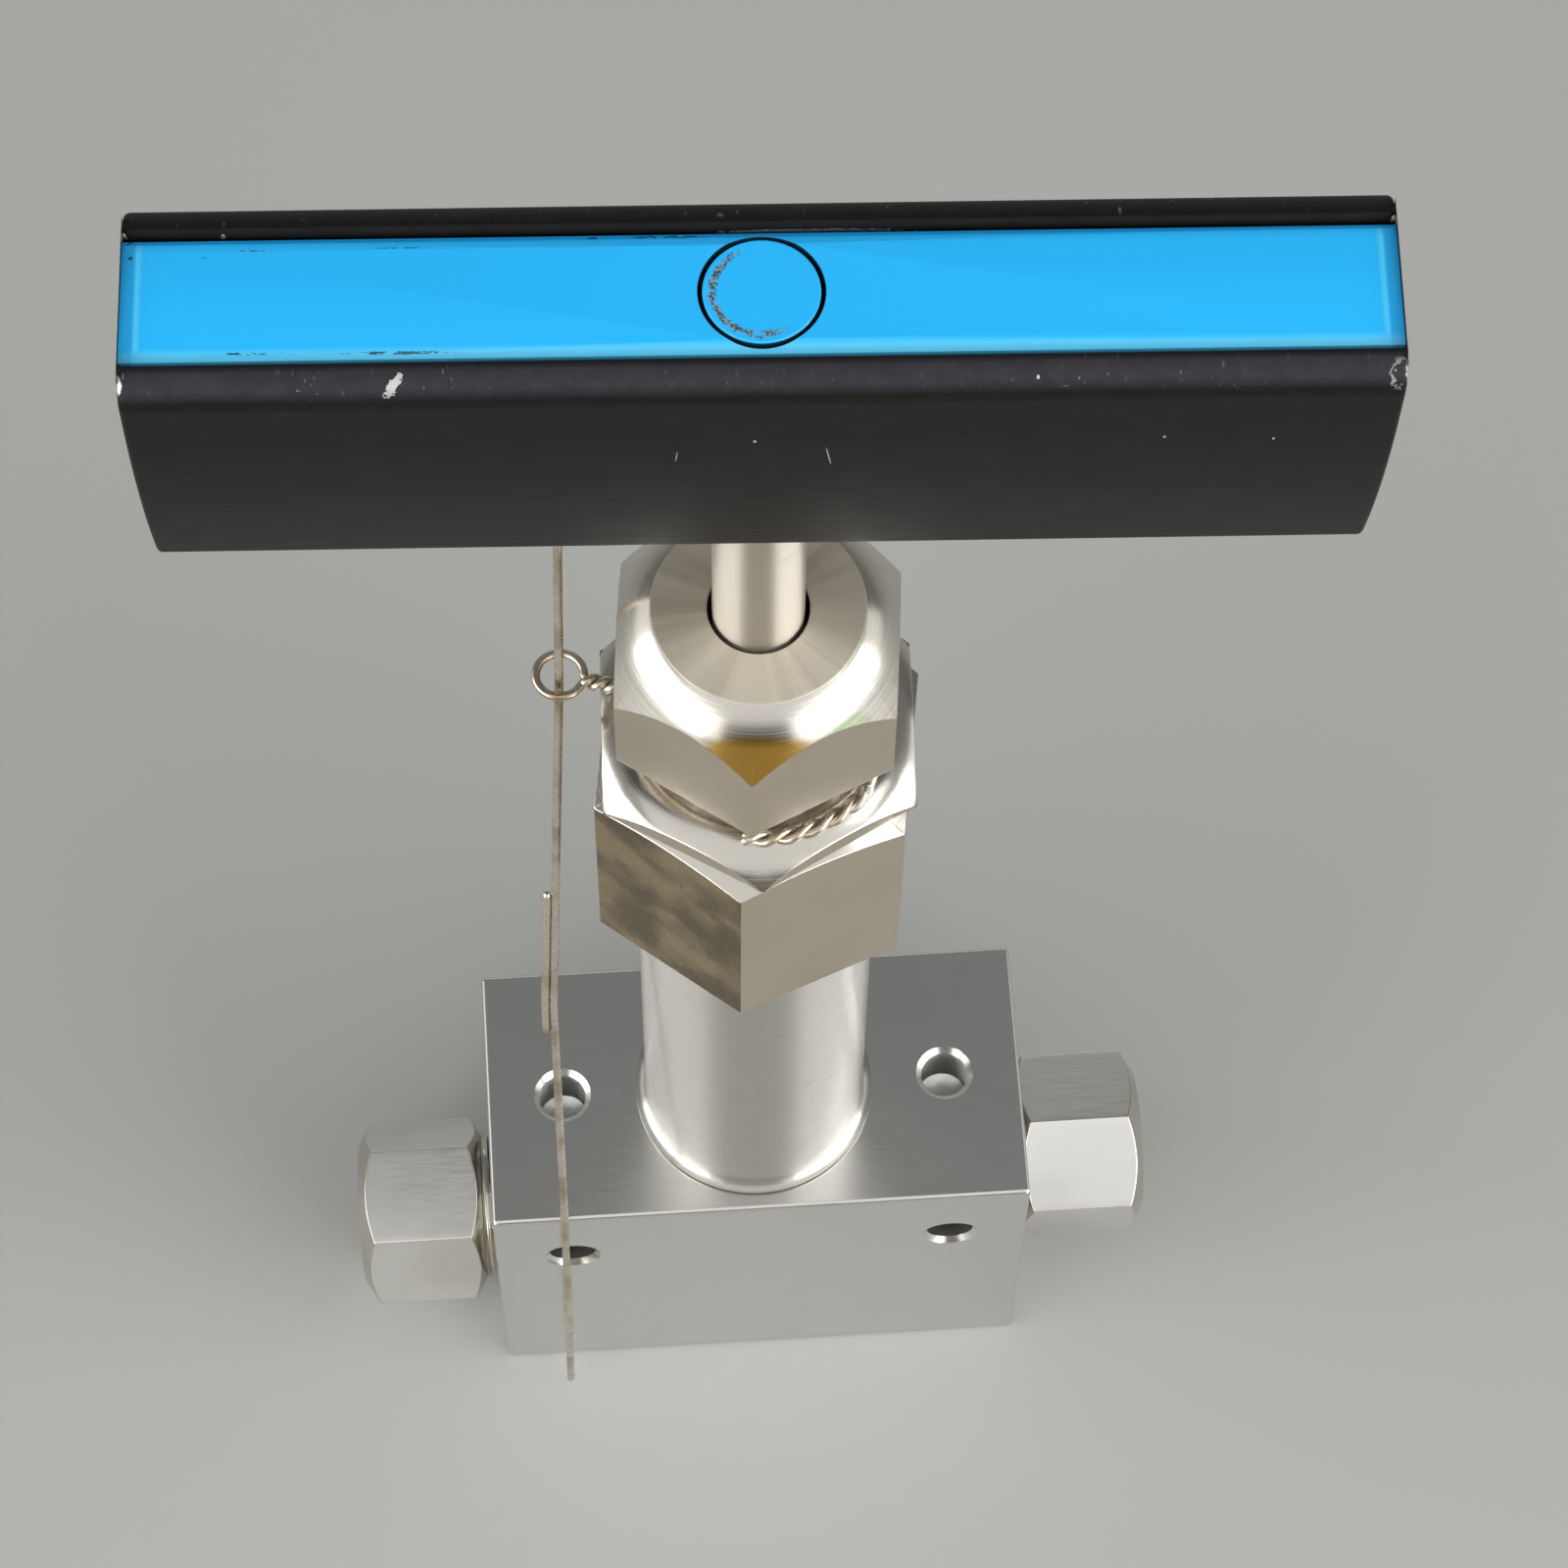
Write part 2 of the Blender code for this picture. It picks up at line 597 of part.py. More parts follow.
def make_upper_stem(parts, cutters, turning):
    square_top = HANDLE_BOTTOM + STEM_SQUARE_LENGTH
    tap_bottom = square_top - SCREW_ENGAGEMENT - SCREW_TAP_SPARE
    profile = [
        (BORE_SCREW, square_top),
        (STEM_RADIUS, square_top),
        (STEM_RADIUS, STEM_THREAD_TOP),
        (STEM_THREAD_RADIUS, STEM_THREAD_TOP),
        (STEM_THREAD_RADIUS, STEM_THREAD_BOTTOM),
        (BORE_STEM_SOCKET, STEM_THREAD_BOTTOM),
        (BORE_STEM_SOCKET, STEM_SOCKET_TOP),
        (0, STEM_SOCKET_TOP),
    ]
    profile = [(0, tap_bottom), (BORE_SCREW, tap_bottom)] + profile
    stem = turned("upper_stem", profile, parts, SMALL_STEPS)
    flats = flats_cutter(
        "cut_stem_square", STEM_SQUARE, 4, STEM_RADIUS, HANDLE_BOTTOM - GAP, square_top + CUT_MARGIN,
        math.pi / 4, cutters,
    )
    flats.parent = turning
    cut(stem, flats)
    dress(stem, POLISHED_STEEL, turning)

    washer_profile = [
        (0, THRUST_WASHER_BOTTOM + THRUST_WASHER_HEIGHT),
        (NEEDLE_HEAD_RADIUS, THRUST_WASHER_BOTTOM + THRUST_WASHER_HEIGHT),
        (NEEDLE_HEAD_RADIUS, THRUST_WASHER_BOTTOM),
        (0, THRUST_WASHER_BOTTOM),
    ]
    washer = turned("stem_thrust_washer", washer_profile, parts, SMALL_STEPS)
    dress(washer, TURNED_STEEL, turning)

    retainer_profile = [
        (BORE_STEM_SOCKET - GAP, RETAINER_TOP),
        (BORE_STEM_SOCKET - GAP, STEM_THREAD_BOTTOM),
        (BORE_NEEDLE, STEM_THREAD_BOTTOM),
        (BORE_NEEDLE, RETAINER_TOP),
    ]
    retainer = turned("stem_retainer", retainer_profile, parts, SMALL_STEPS)
    dress(retainer, TURNED_STEEL, turning)


def mirrored(right_side):
    """Closes an outline whose right half runs from the top of the groove round to the foot."""
    return right_side + [(-across, up) for across, up in reversed(right_side)]


def handle_outline():
    """Section of the bar: dovetail groove, lips, shoulders, tapering sides and a rounded foot."""
    half = HANDLE_WIDTH / 2
    crest = HANDLE_PLATE_LEVEL + HANDLE_LIP_RISE
    widest = HANDLE_PLATE_LEVEL - HANDLE_WIDEST_DROP
    mouth = PLATE_WIDTH / 2 + GAP
    floor = HANDLE_PLATE_LEVEL - PLATE_THICKNESS - GAP
    side_centre = (half - HANDLE_SIDE_RADIUS, widest)
    reach = HANDLE_SIDE_RADIUS - HANDLE_FOOT_RADIUS
    fall = widest - HANDLE_FOOT_RADIUS
    foot_centre = (side_centre[0] + math.sqrt(reach ** 2 - fall ** 2), HANDLE_FOOT_RADIUS)
    tangent = -math.degrees(math.asin(fall / reach))
    right_side = [
        (mouth + PLATE_DOVETAIL, floor),
        (mouth, HANDLE_PLATE_LEVEL),
    ]
    right_side += arc((mouth + HANDLE_LIP_ROUND, crest - HANDLE_LIP_ROUND), HANDLE_LIP_ROUND, 180, 90)
    right_side += arc((half - HANDLE_SHOULDER_RADIUS, crest - HANDLE_SHOULDER_RADIUS),
                      HANDLE_SHOULDER_RADIUS, 90, 0)
    right_side += arc(side_centre, HANDLE_SIDE_RADIUS, 0, tangent)[:-1]
    right_side += arc(foot_centre, HANDLE_FOOT_RADIUS, tangent, -90)
    return mirrored(right_side)


def make_handle(parts, cutters, turning):
    bar = extruded("handle_bar", handle_outline(), HANDLE_LENGTH, parts, HANDLE_END_EDGE)
    bar.location.z = HANDLE_BOTTOM
    groove_floor = HANDLE_PLATE_LEVEL - PLATE_THICKNESS - GAP
    washer_bottom = groove_floor - SCREW_HEAD_HEIGHT - LOCK_WASHER_HEIGHT - GAP
    socket_height = STEM_SQUARE_LENGTH + GAP
    socket_size = STEM_SQUARE + 2 * GAP
    socket = block(
        "cut_stem_socket", (socket_size, socket_size, socket_height + CUT_MARGIN),
        (0, 0, HANDLE_BOTTOM + (socket_height - CUT_MARGIN) / 2), cutters,
    )
    socket.parent = turning
    cut(bar, socket)
    screw_way = [
        (0, groove_floor + CUT_MARGIN),
        (SCREW_HEAD_RADIUS + RUNNING_CLEARANCE, groove_floor + CUT_MARGIN),
        (SCREW_HEAD_RADIUS + RUNNING_CLEARANCE, washer_bottom - GAP),
        (BORE_SCREW, washer_bottom - GAP),
        (BORE_SCREW, socket_height - CUT_MARGIN),
        (0, socket_height - CUT_MARGIN),
    ]
    screw_hole = turned("cut_screw_way", screw_way, cutters, SMALL_STEPS)
    screw_hole.location.z = HANDLE_BOTTOM
    screw_hole.parent = turning
    cut(bar, screw_hole)
    dress(bar, BLACK_ANODISE, turning)

    plate_floor = groove_floor + GAP
    half = PLATE_WIDTH / 2
    plate_outline = mirrored([(half + PLATE_DOVETAIL, plate_floor), (half, HANDLE_PLATE_LEVEL)][::-1])
    plate = extruded("nameplate", plate_outline, HANDLE_LENGTH, parts)
    plate.location.z = HANDLE_BOTTOM
    plug_hole = [
        (0, HANDLE_PLATE_LEVEL + CUT_MARGIN),
        (PLUG_RADIUS + GAP, HANDLE_PLATE_LEVEL + CUT_MARGIN),
        (PLUG_RADIUS + GAP, plate_floor - CUT_MARGIN),
        (0, plate_floor - CUT_MARGIN),
    ]
    plate_hole = turned("cut_plug_hole", plug_hole, cutters)
    plate_hole.location.z = HANDLE_BOTTOM
    plate_hole.parent = turning
    cut(plate, plate_hole)
    dress(plate, BLUE_ACRYLIC, turning)

    plug_profile = [
        (0, HANDLE_PLATE_LEVEL),
        (PLUG_RADIUS - PLUG_EDGE, HANDLE_PLATE_LEVEL),
        (PLUG_RADIUS, HANDLE_PLATE_LEVEL - PLUG_EDGE),
        (PLUG_RADIUS, plate_floor),
        (0, plate_floor),
    ]
    plug = turned("nameplate_plug", plug_profile, parts)
    plug.location.z = HANDLE_BOTTOM
    dress(plug, BLUE_ACRYLIC, turning)

    washer_top = washer_bottom + LOCK_WASHER_HEIGHT
    washer_profile = [
        (SCREW_HEAD_RADIUS, washer_top),
        (SCREW_HEAD_RADIUS, washer_bottom),
        (BORE_SCREW, washer_bottom),
        (BORE_SCREW, washer_top),
    ]
    washer = turned("handle_lock_washer", washer_profile, parts, SMALL_STEPS)
    washer.location.z = HANDLE_BOTTOM
    dress(washer, TURNED_STEEL, turning)

    head_bottom = washer_top + GAP
    head_top = head_bottom + SCREW_HEAD_HEIGHT - GAP
    screw_profile = [
        (0, head_top - SCREW_SOCKET_DEPTH),
        (SCREW_SOCKET_RADIUS, head_top - SCREW_SOCKET_DEPTH),
        (SCREW_SOCKET_RADIUS, head_top),
        (SCREW_HEAD_RADIUS, head_top),
        (SCREW_HEAD_RADIUS, head_bottom),
        (SCREW_RADIUS, head_bottom),
        (SCREW_RADIUS, STEM_SQUARE_LENGTH - SCREW_ENGAGEMENT),
        (0, STEM_SQUARE_LENGTH - SCREW_ENGAGEMENT),
    ]
    screw = turned("handle_screw", screw_profile, parts, SMALL_STEPS)
    screw.location.z = HANDLE_BOTTOM
    dress(screw, TURNED_STEEL, turning)


def round_turn(centre, start, end):
    """Points round a centre from one (angle, radius, level) to another."""
    steps = math.ceil(abs(end[0] - start[0]) / TIE_STEP)
    points = []
    for step in range(steps + 1):
        angle, radius, level = Vector(start).lerp(end, step / steps)
        points.append((centre[0] + radius * math.cos(angle), centre[1] + radius * math.sin(angle), level))
    return points


def make_tie(level, parts):
    """Wire doubled at an eye: one strand goes behind the gland to a tail in front, one goes before it."""
    loop_radius = GLAND_THREAD_RADIUS + GAP + WIRE_RADIUS
    tail_level = GLAND_HEX_BOTTOM - TIE_TAIL_DROP
    shank_angle = math.pi - math.asin(TIE_SHANK_Y / loop_radius)
    shank_split = math.asin(TIE_SHANK_SPREAD / loop_radius)
    eye_angle = math.atan2(TIE_SHANK_Y - TIE_EYE_CENTRE[1], -loop_radius - TIE_EYE_CENTRE[0])
    eye_split = math.asin(TIE_SHANK_SPREAD / TIE_EYE_RADIUS)
    axis = (0, 0)
    tail_end = (TIE_TAIL_END, TIE_TAIL_RADIUS, tail_level)
    join = (TIE_TAIL_JOIN, loop_radius, level)
    path = round_turn(axis, (TIE_TAIL_START, TIE_TAIL_RADIUS, tail_level), tail_end)
    path += round_turn(axis, tail_end, join)[1:]
    path += round_turn(axis, join, (shank_angle - shank_split, loop_radius, level))[1:]
    path += round_turn(TIE_EYE_CENTRE, (eye_angle + eye_split, TIE_EYE_RADIUS, level),
                       (eye_angle - eye_split + 2 * math.pi, TIE_EYE_RADIUS, level))
    path += round_turn(axis, (shank_angle + shank_split, loop_radius, level),
                       (TIE_FRONT_END, loop_radius, level))
    dress(wire("tag_wire_tie", path, parts), WIRE_STEEL)


def make_tag_wire(parts):
    """The tie, the wire that hangs in its eye and leans on the block, and the strand that splices it."""
    level = GLAND_HEX_BOTTOM - TIE_DROP
    make_tie(level, parts)

    reach = level - BODY_TOP
    edge = Vector((TAG_WIRE_EDGE_X, -BODY_DEPTH / 2 - GAP - WIRE_RADIUS, BODY_TOP))
    through = Vector((*TIE_EYE_CENTRE, level)) + Vector((*TAG_WIRE_EYE_OFFSET, 0))
    top = through + (through - edge) * (TAG_WIRE_TOP / reach)
    foot = Vector((*TAG_WIRE_FOOT, TAG_WIRE_BOTTOM))
    bend = edge.lerp(through, TAG_WIRE_BEND_HEIGHT / reach)
    bend.x += TAG_WIRE_BEND
    low = edge.lerp(bend, TAG_WIRE_SPLICE_LOW / TAG_WIRE_BEND_HEIGHT)
    above_bend = TAG_WIRE_SPLICE_HIGH - TAG_WIRE_BEND_HEIGHT
    high = bend.lerp(through, above_bend / (reach - TAG_WIRE_BEND_HEIGHT))
    aside = Vector((-TAG_WIRE_SPLICE_STEP, 0, 0))
    dress(wire("tag_wire", [top, through, bend, edge, foot], parts), WIRE_STEEL)
    splice = [high + aside, bend + aside, low + aside]
    dress(wire("tag_wire_splice", splice, parts), WIRE_STEEL)


def main():
    clear_scene()
    parts = new_collection("needle_valve")
    cutters = new_collection("cutters")
    turning = bpy.data.objects.new("handle_axis", None)
    turning.rotation_euler.z = HANDLE_REST_TURN
    parts.objects.link(turning)

    make_body(parts, cutters)
    make_tube_connection("inlet", -1, INLET_HEIGHT, INLET_NUT_STANDOFF, INLET_NUT_TURN, parts, cutters)
    make_tube_connection("outlet", 1, OUTLET_HEIGHT, OUTLET_NUT_STANDOFF, OUTLET_NUT_TURN, parts, cutters)
    make_stuffing_box(parts, cutters)
    make_lock_nut(parts, cutters)
    make_packing_gland(parts, cutters)
    make_packing(parts)
    make_needle(parts)
    make_upper_stem(parts, cutters, turning)
    make_handle(parts, cutters, turning)
    make_tag_wire(parts)


main()
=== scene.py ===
"""Looks of the needle valve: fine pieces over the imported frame, their finishes, the studio and the camera.

Sizes are in metres in the row frame: +Z up the stem, -Y to the front, the block's foot at the origin.
"""

import json
from math import asin, atan, atan2, ceil, cos, degrees, hypot, pi, radians, sin, sqrt, tan

import bmesh
import bpy
from mathutils import Matrix, Vector


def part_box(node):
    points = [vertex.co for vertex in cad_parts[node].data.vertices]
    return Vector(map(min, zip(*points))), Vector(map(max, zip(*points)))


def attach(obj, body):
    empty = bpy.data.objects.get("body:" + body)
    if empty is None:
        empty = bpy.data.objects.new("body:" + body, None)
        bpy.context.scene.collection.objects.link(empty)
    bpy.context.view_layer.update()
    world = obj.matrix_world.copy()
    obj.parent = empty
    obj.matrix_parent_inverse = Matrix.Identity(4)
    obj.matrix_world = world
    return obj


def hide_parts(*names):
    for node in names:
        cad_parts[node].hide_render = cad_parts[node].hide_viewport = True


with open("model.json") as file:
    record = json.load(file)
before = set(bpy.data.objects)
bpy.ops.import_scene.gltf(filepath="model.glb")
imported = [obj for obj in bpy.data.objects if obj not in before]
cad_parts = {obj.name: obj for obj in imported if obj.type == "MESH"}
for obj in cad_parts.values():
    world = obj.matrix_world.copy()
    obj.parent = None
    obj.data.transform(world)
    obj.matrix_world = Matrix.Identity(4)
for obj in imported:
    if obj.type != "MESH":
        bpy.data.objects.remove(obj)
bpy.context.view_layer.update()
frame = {"nodes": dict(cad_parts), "record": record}

# Fineness of the meshes
MERGE_DISTANCE = 0.000001
EDGE_STEPS = 3
ARC_STEPS = 12
ROUND_STEPS = 96
FLAT_STEPS = 8
CORNER_STEPS = 4
THREAD_ROWS = 14
SMOOTH_ANGLE = radians(35.0)
MITRE_LIMIT = 0.5

# What counts as a milled flat, and as the flat that is painted darker as shade: limits on a face's direction
FLAT_TILT = 0.1
SHADED_FLAT_FACING = 0.9

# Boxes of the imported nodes
BODY_LOW, BODY_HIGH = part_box("body")
BOX_LOW, BOX_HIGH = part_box("stuffing_box")
LOCK_NUT_LOW, LOCK_NUT_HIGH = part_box("gland_lock_nut")
WASHER_LOW, WASHER_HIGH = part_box("packing_washer")
FOLLOWER_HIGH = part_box("packing_follower")[1]
GLAND_LOW, GLAND_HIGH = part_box("packing_gland")
STEM_LOW, STEM_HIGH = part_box("upper_stem")
BAR_LOW, BAR_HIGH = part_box("handle_bar")
PLATE_LOW, PLATE_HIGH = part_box("nameplate")

# Clearance between neighbours, as in the solids
GAP = 0.0003

# Block
BODY_EDGE = 0.0005
TOP_HOLE_SPACING = 0.0364
TOP_HOLE_RADIUS = 0.0022
TOP_HOLE_DEPTH = 0.0060
TOP_HOLE_PITCH = 0.0008
TOP_HOLE_THREAD = 0.0003
SIDE_HOLE_SPACING = 0.0362
SIDE_HOLE_RADIUS = 0.0022
SIDE_HOLE_DROP = 0.0096
COUNTERSINK = 0.0005
BORE_SPIGOT = 0.0098
BORE_SPIGOT_DEPTH = 0.0116
BORE_PORT = 0.00744
BORE_PORT_DEPTH = 0.0094

# Tube nuts
INLET_HEIGHT = 0.0095
OUTLET_HEIGHT = 0.0175
NUT_HEX = 0.0159
NUT_HEX_LENGTH = 0.0122
NUT_THREAD_RADIUS = 0.00714
NUT_THREAD_DEPTH = 0.0007
NUT_THREAD_PITCH = 0.0013
NUT_THREAD_LENGTH = 0.0090
NUT_BORE = 0.003475
NUT_MOUTH = 0.0009
NUT_OUTER_CHAMFER = 0.0012
NUT_INNER_CHAMFER = 0.0009
NUT_CHAMFER_SLOPE = 0.60
INLET_NUT_STANDOFF = 0.0014
OUTLET_NUT_STANDOFF = 0.0003
INLET_NUT_TURN = radians(-10.0)
OUTLET_NUT_TURN = radians(23.0)

# Stuffing box
NECK_RADIUS = 0.0103
NECK_FILLET = 0.0009
SPIGOT_RADIUS = 0.0095
BOX_HEX = 0.0254
BOX_HEX_LENGTH = 0.0251
BOX_HEX_TURN = radians(-8.8)
BOX_CHAMFER = 0.0020
HEX_CHAMFER_SLOPE = tan(radians(27.0))
BOX_BORE = 0.0095
FOLLOWER_SEAT = 0.0024
NEEDLE_BORE = 0.00355

# Lock nut
LOCK_NUT_HEX = 0.0254
LOCK_NUT_TURN = radians(-2.0)
LOCK_NUT_CHAMFER = 0.0027
LOCK_NUT_FALL = 0.00085
LOCK_NUT_CROWN = 2.2

# Packing gland
GLAND_HEX = 0.0222
GLAND_HEX_LENGTH = 0.0151
GLAND_HEX_TURN = radians(-5.8)
GLAND_TOP_RADIUS = 0.0084
GLAND_TOP_EDGE = 0.0003
GLAND_DOME_RADIUS = 0.0110
GLAND_DOME_DROP = 0.0028
GLAND_CONE_DROP = 0.0063
GLAND_CONE_RADIUS = 0.01312
GLAND_MOUTH = 0.00403
GLAND_THREAD_RADIUS = 0.0092
GLAND_THREAD_DEPTH = 0.0006
GLAND_THREAD_PITCH = 0.00106
GLAND_THREAD_HIDDEN = 0.0012
GLAND_BORE = 0.00665
GLAND_SHOULDER_DROP = 0.00612
# Amber patch painted as a reflection on the cone at the front corner, and a green patch to its right
GLAND_REFLECTION_RADIUS = 0.0124
GLAND_REFLECTION_DROP = 0.0046
GLAND_REFLECTION_REACH = (0.0070, 0.0034, 0.0044)
GLAND_GREEN_BEARING = radians(40.0)
GLAND_GREEN_RADIUS = 0.0118
GLAND_GREEN_DROP = 0.0042
GLAND_GREEN_REACH = (0.0026, 0.0026, 0.0022)

# Edges broken by a deburring tool
FINE_EDGE = 0.00015
HEX_EDGE = 0.00025

# Upper stem
STEM_RADIUS = 0.00363
STEM_SQUARE = 0.0051
STEM_THREAD_RADIUS = 0.00635
STEM_THREAD_LENGTH = 0.0140
STEM_SOCKET_RADIUS = 0.0045
STEM_SOCKET_DEPTH = 0.0060
STEM_EXPOSED = 0.0180

# Handle. Its section follows the photograph: a narrower bar than the solids' and a higher strip
HANDLE_TURN = radians(-2.57)
HANDLE_LENGTH = 0.0889
HANDLE_WIDTH = 0.0158
HANDLE_PLATE_LEVEL = 0.0295
HANDLE_LIP_RISE = 0.0010
HANDLE_LIP_ROUND = 0.0007
HANDLE_SHOULDER_RADIUS = 0.0024
HANDLE_WIDEST_DROP = 0.0040
HANDLE_SIDE_RADIUS = 0.0996
HANDLE_FOOT_RADIUS = 0.0040
HANDLE_END_EDGE = 0.0004
HANDLE_STATIONS = 180
PLATE_WIDTH = 0.00964
PLATE_THICKNESS = 0.0030
PLATE_DOVETAIL = 0.0008
PLATE_BEVEL = 0.0011
PLATE_BEVEL_DROP = 0.00035
PLATE_RAISE = 0.0007
PLUG_RADIUS = 0.00416
PLUG_EDGE = 0.0002
# Width of the painted shade along both edges of the gap round the plug
PLUG_GAP_SHADE = 0.00006

# Tag wire and its tie
WIRE_RADIUS = 0.00037
WIRE_RESOLUTION = 5
TIE_EYE_CENTRE = (-0.0158, 0.0036)
TIE_EYE_RADIUS = 0.00195
TIE_SHANK_Y = 0.0018
TIE_SHANK_TURNS = 2
TIE_SHANK_STEPS = 24
TIE_DROP = 0.00215
TIE_TAIL_RADIUS = 0.0113
TIE_TAIL_DROP = 0.0035
TIE_TAIL_START = radians(-100.0)
TIE_TAIL_END = radians(-42.0)
TIE_TAIL_JOIN = radians(-10.0)
TIE_TAIL_LEAD = 0.0040
TIE_FRONT_END = radians(325.0)
TIE_STEP = radians(2.0)
TAG_WIRE_TOP = 0.0280
TAG_WIRE_BOTTOM = 0.0008
TAG_WIRE_EDGE_X = -0.0186
TAG_WIRE_FOOT = (-0.0192, -0.0157)
TAG_WIRE_EYE_OFFSET = (-0.0001, -0.0009)
TAG_WIRE_BEND = -0.0008
TAG_WIRE_BEND_HEIGHT = 0.0370
TAG_WIRE_SPLICE_LOW = 0.0330
TAG_WIRE_SPLICE_HIGH = 0.0540

# Chips on the bar: centre as along, across and drop below the crest, reach each way, turn, raggedness
NO_TURN = (0.0, 0.0, 0.0)
BAR_CHIPS = (
    ((-0.0445, -0.0068, 0.0003), (0.00045, 0.0009, 0.0008), NO_TURN, 0.8),
    ((-0.0254, -0.0069, 0.0005), (0.00095, 0.00030, 0.0015), (0.0, 0.0, radians(48.0)), 3.0),
    ((0.0445, -0.0068, 0.0005), (0.00022, 0.0010, 0.0012), NO_TURN, 1.2),
    ((-0.0006, -0.0078, 0.0076), (0.00013, 0.0010, 0.00022), NO_TURN, 0.4),
    ((0.0281, -0.0078, 0.0078), (0.00012, 0.0010, 0.00020), NO_TURN, 0.4),
    ((0.0358, -0.0078, 0.0083), (0.00010, 0.0010, 0.00018), NO_TURN, 0.4),
    ((0.0189, -0.0070, 0.0006), (0.00011, 0.00014, 0.0010), NO_TURN, 0.4),
    ((0.0046, -0.0077, 0.0100), (0.00005, 0.0010, 0.00150), (0.0, radians(-8.0), 0.0), 0.9),
    ((-0.0061, -0.0077, 0.0098), (0.00004, 0.0010, 0.00080), (0.0, radians(5.0), 0.0), 0.9),
    ((-0.0374, 0.0051, 0.0006), (0.00016, 0.0003, 0.00030), NO_TURN, 0.6),
    ((-0.0444, 0.0052, 0.0006), (0.00035, 0.0004, 0.00040), NO_TURN, 0.8),
    ((0.0444, 0.0052, 0.0006), (0.00035, 0.0004, 0.00040), NO_TURN, 0.8),
    ((0.0032, 0.0051, 0.0009), (0.00680, 0.0003, 0.00026), NO_TURN, 1.2),
)
BAR_RIM_CHIP = ((0.0441, -0.0071, BAR_HIGH.z - 0.0007), (0.00095, 0.00105, 0.0020))
BAR_RIM_HOLLOW = (0.00084, 0.00094, 0.0030)

# Rub and painted sheen on the bar's shoulders, fuller at the front: drops below the crest and distances
# across where it starts and is full
RUB_SHEEN_DROP = (0.0016, 0.0005)
RUB_SHEEN_ACROSS = (0.0054, 0.0062)
RUB_SHEEN_FRONT = (0.0, -0.0040)
SCRATCH_TURNS = (0.5, -0.9, 1.35)

# Scratches and grime on the strip: centre as along and across, reach each way
STRIP_MARKS = (
    ((-0.0352, 0.0038), (0.00150, 0.00007)),
    ((-0.0252, 0.0039), (0.00200, 0.00006)),
    ((-0.0383, 0.0033), (0.00080, 0.00006)),
    ((-0.0066, 0.0046), (0.00290, 0.00018)),
    ((-0.0118, 0.0046), (0.00090, 0.00012)),
    ((-0.0350, -0.0043), (0.00220, 0.00013)),
    ((-0.0252, -0.0044), (0.00420, 0.00013)),
    ((-0.0437, 0.0046), (0.00040, 0.00025)),
    ((-0.0438, 0.0034), (0.00022, 0.00018)),
)

# Painted light on the strip: distances from its ends, front and back between which each painted highlight or
# painted shade fades
PAINTED_END_HIGHLIGHT_START = (0.00095, 0.00115)
PAINTED_END_HIGHLIGHT_STOP = (0.0012, 0.0016)
PAINTED_END_SHADE_SPAN = (0.0008, 0.0011)
PAINTED_FRONT_HIGHLIGHT_SPAN = (0.0004, 0.0010)
PAINTED_BACK_SHADE_SPAN = (0.0002, 0.0005)

# Old adhesive on the plug: where its ring fades in and out, how far that wanders, where it ends
RESIDUE_START = (0.0031, 0.0033)
RESIDUE_STOP = (0.0036, 0.0038)
RESIDUE_WANDER = 0.0008
RESIDUE_LEFT = (-0.0016, 0.0008)

# Camera, as yaw from +Y, pitch down and roll, with the lens that gives the photograph's frame
CAMERA_PLACE = (-0.013467, -0.183033, 0.498301)
CAMERA_YAW = radians(-4.918)
CAMERA_PITCH = radians(64.953)
CAMERA_ROLL = radians(1.22)
CAMERA_SENSOR = 36.0
CAMERA_LENS = 119.43

# Studio
WORLD_COLOUR = (0.22, 0.22, 0.22, 1.0)
FLOOR_COLOUR = (0.40, 0.40, 0.382, 1.0)
FLOOR_HUB = 0.001
FLOOR_RADIUS = 2.6
SWEEP_RADIUS = 0.8
WALL_HEIGHT = 1.8
LIGHT_TARGET = Vector((0.0, 0.0, 0.09))
WHITE_LIGHT = (1.0, 1.0, 1.0)
AMBER_LIGHT = (1.0, 0.62, 0.20)

# Lamps: degrees round from the front, degrees up, distance, width and height, watts, colour if not white
LAMPS = {
    "left_softbox": (-70.0, 15.0, 1.8, (2.25, 0.76), 36.0),
    "left_wing": (-114.0, 13.0, 1.8, (0.80, 0.76), 1.9),
    "right_softbox": (58.0, 15.0, 1.8, (2.08, 0.76), 37.0),
    "right_wing": (101.0, 13.0, 1.8, (0.80, 0.76), 1.8),
    "left_fade": (-32.5, 14.0, 1.8, (0.36, 0.76), 1.1),
    "right_fade": (23.0, 14.0, 1.8, (0.34, 0.76), 1.0),
    "right_high": (74.0, 49.0, 1.0, (0.30, 0.26), 0.55),
    "back_panel": (178.0, 8.0, 1.8, (1.6, 0.4), 1.6),
    "front_sky": (3.0, 59.0, 0.5, (1.10, 0.62), 1.55),
    "warm_card": (0.0, 1.0, 0.8, (1.0, 0.14), 0.20, AMBER_LIGHT),
}

# Colours as linear red, green and blue, and the acrylic's refraction
GROUND_STEEL = (0.70, 0.70, 0.68)
PLATED_STEEL = (0.86, 0.85, 0.82)
TURNED_STEEL = (0.62, 0.59, 0.53)
NECK_STEEL = (0.60, 0.585, 0.54)
FACED_STEEL = (0.80, 0.75, 0.64)
DRAWN_STEEL = (0.63, 0.548, 0.435)
POLISHED_STEEL = (0.59, 0.545, 0.47)
WIRE_STEEL = (0.66, 0.61, 0.52)
WIRE_TARNISH = (0.44, 0.35, 0.24)
STEEL_STAIN = (0.33, 0.27, 0.19)
# Painted shade: the darker steel of the stuffing box's left front flat
SHADED_FLAT_STEEL = (0.38, 0.285, 0.145)
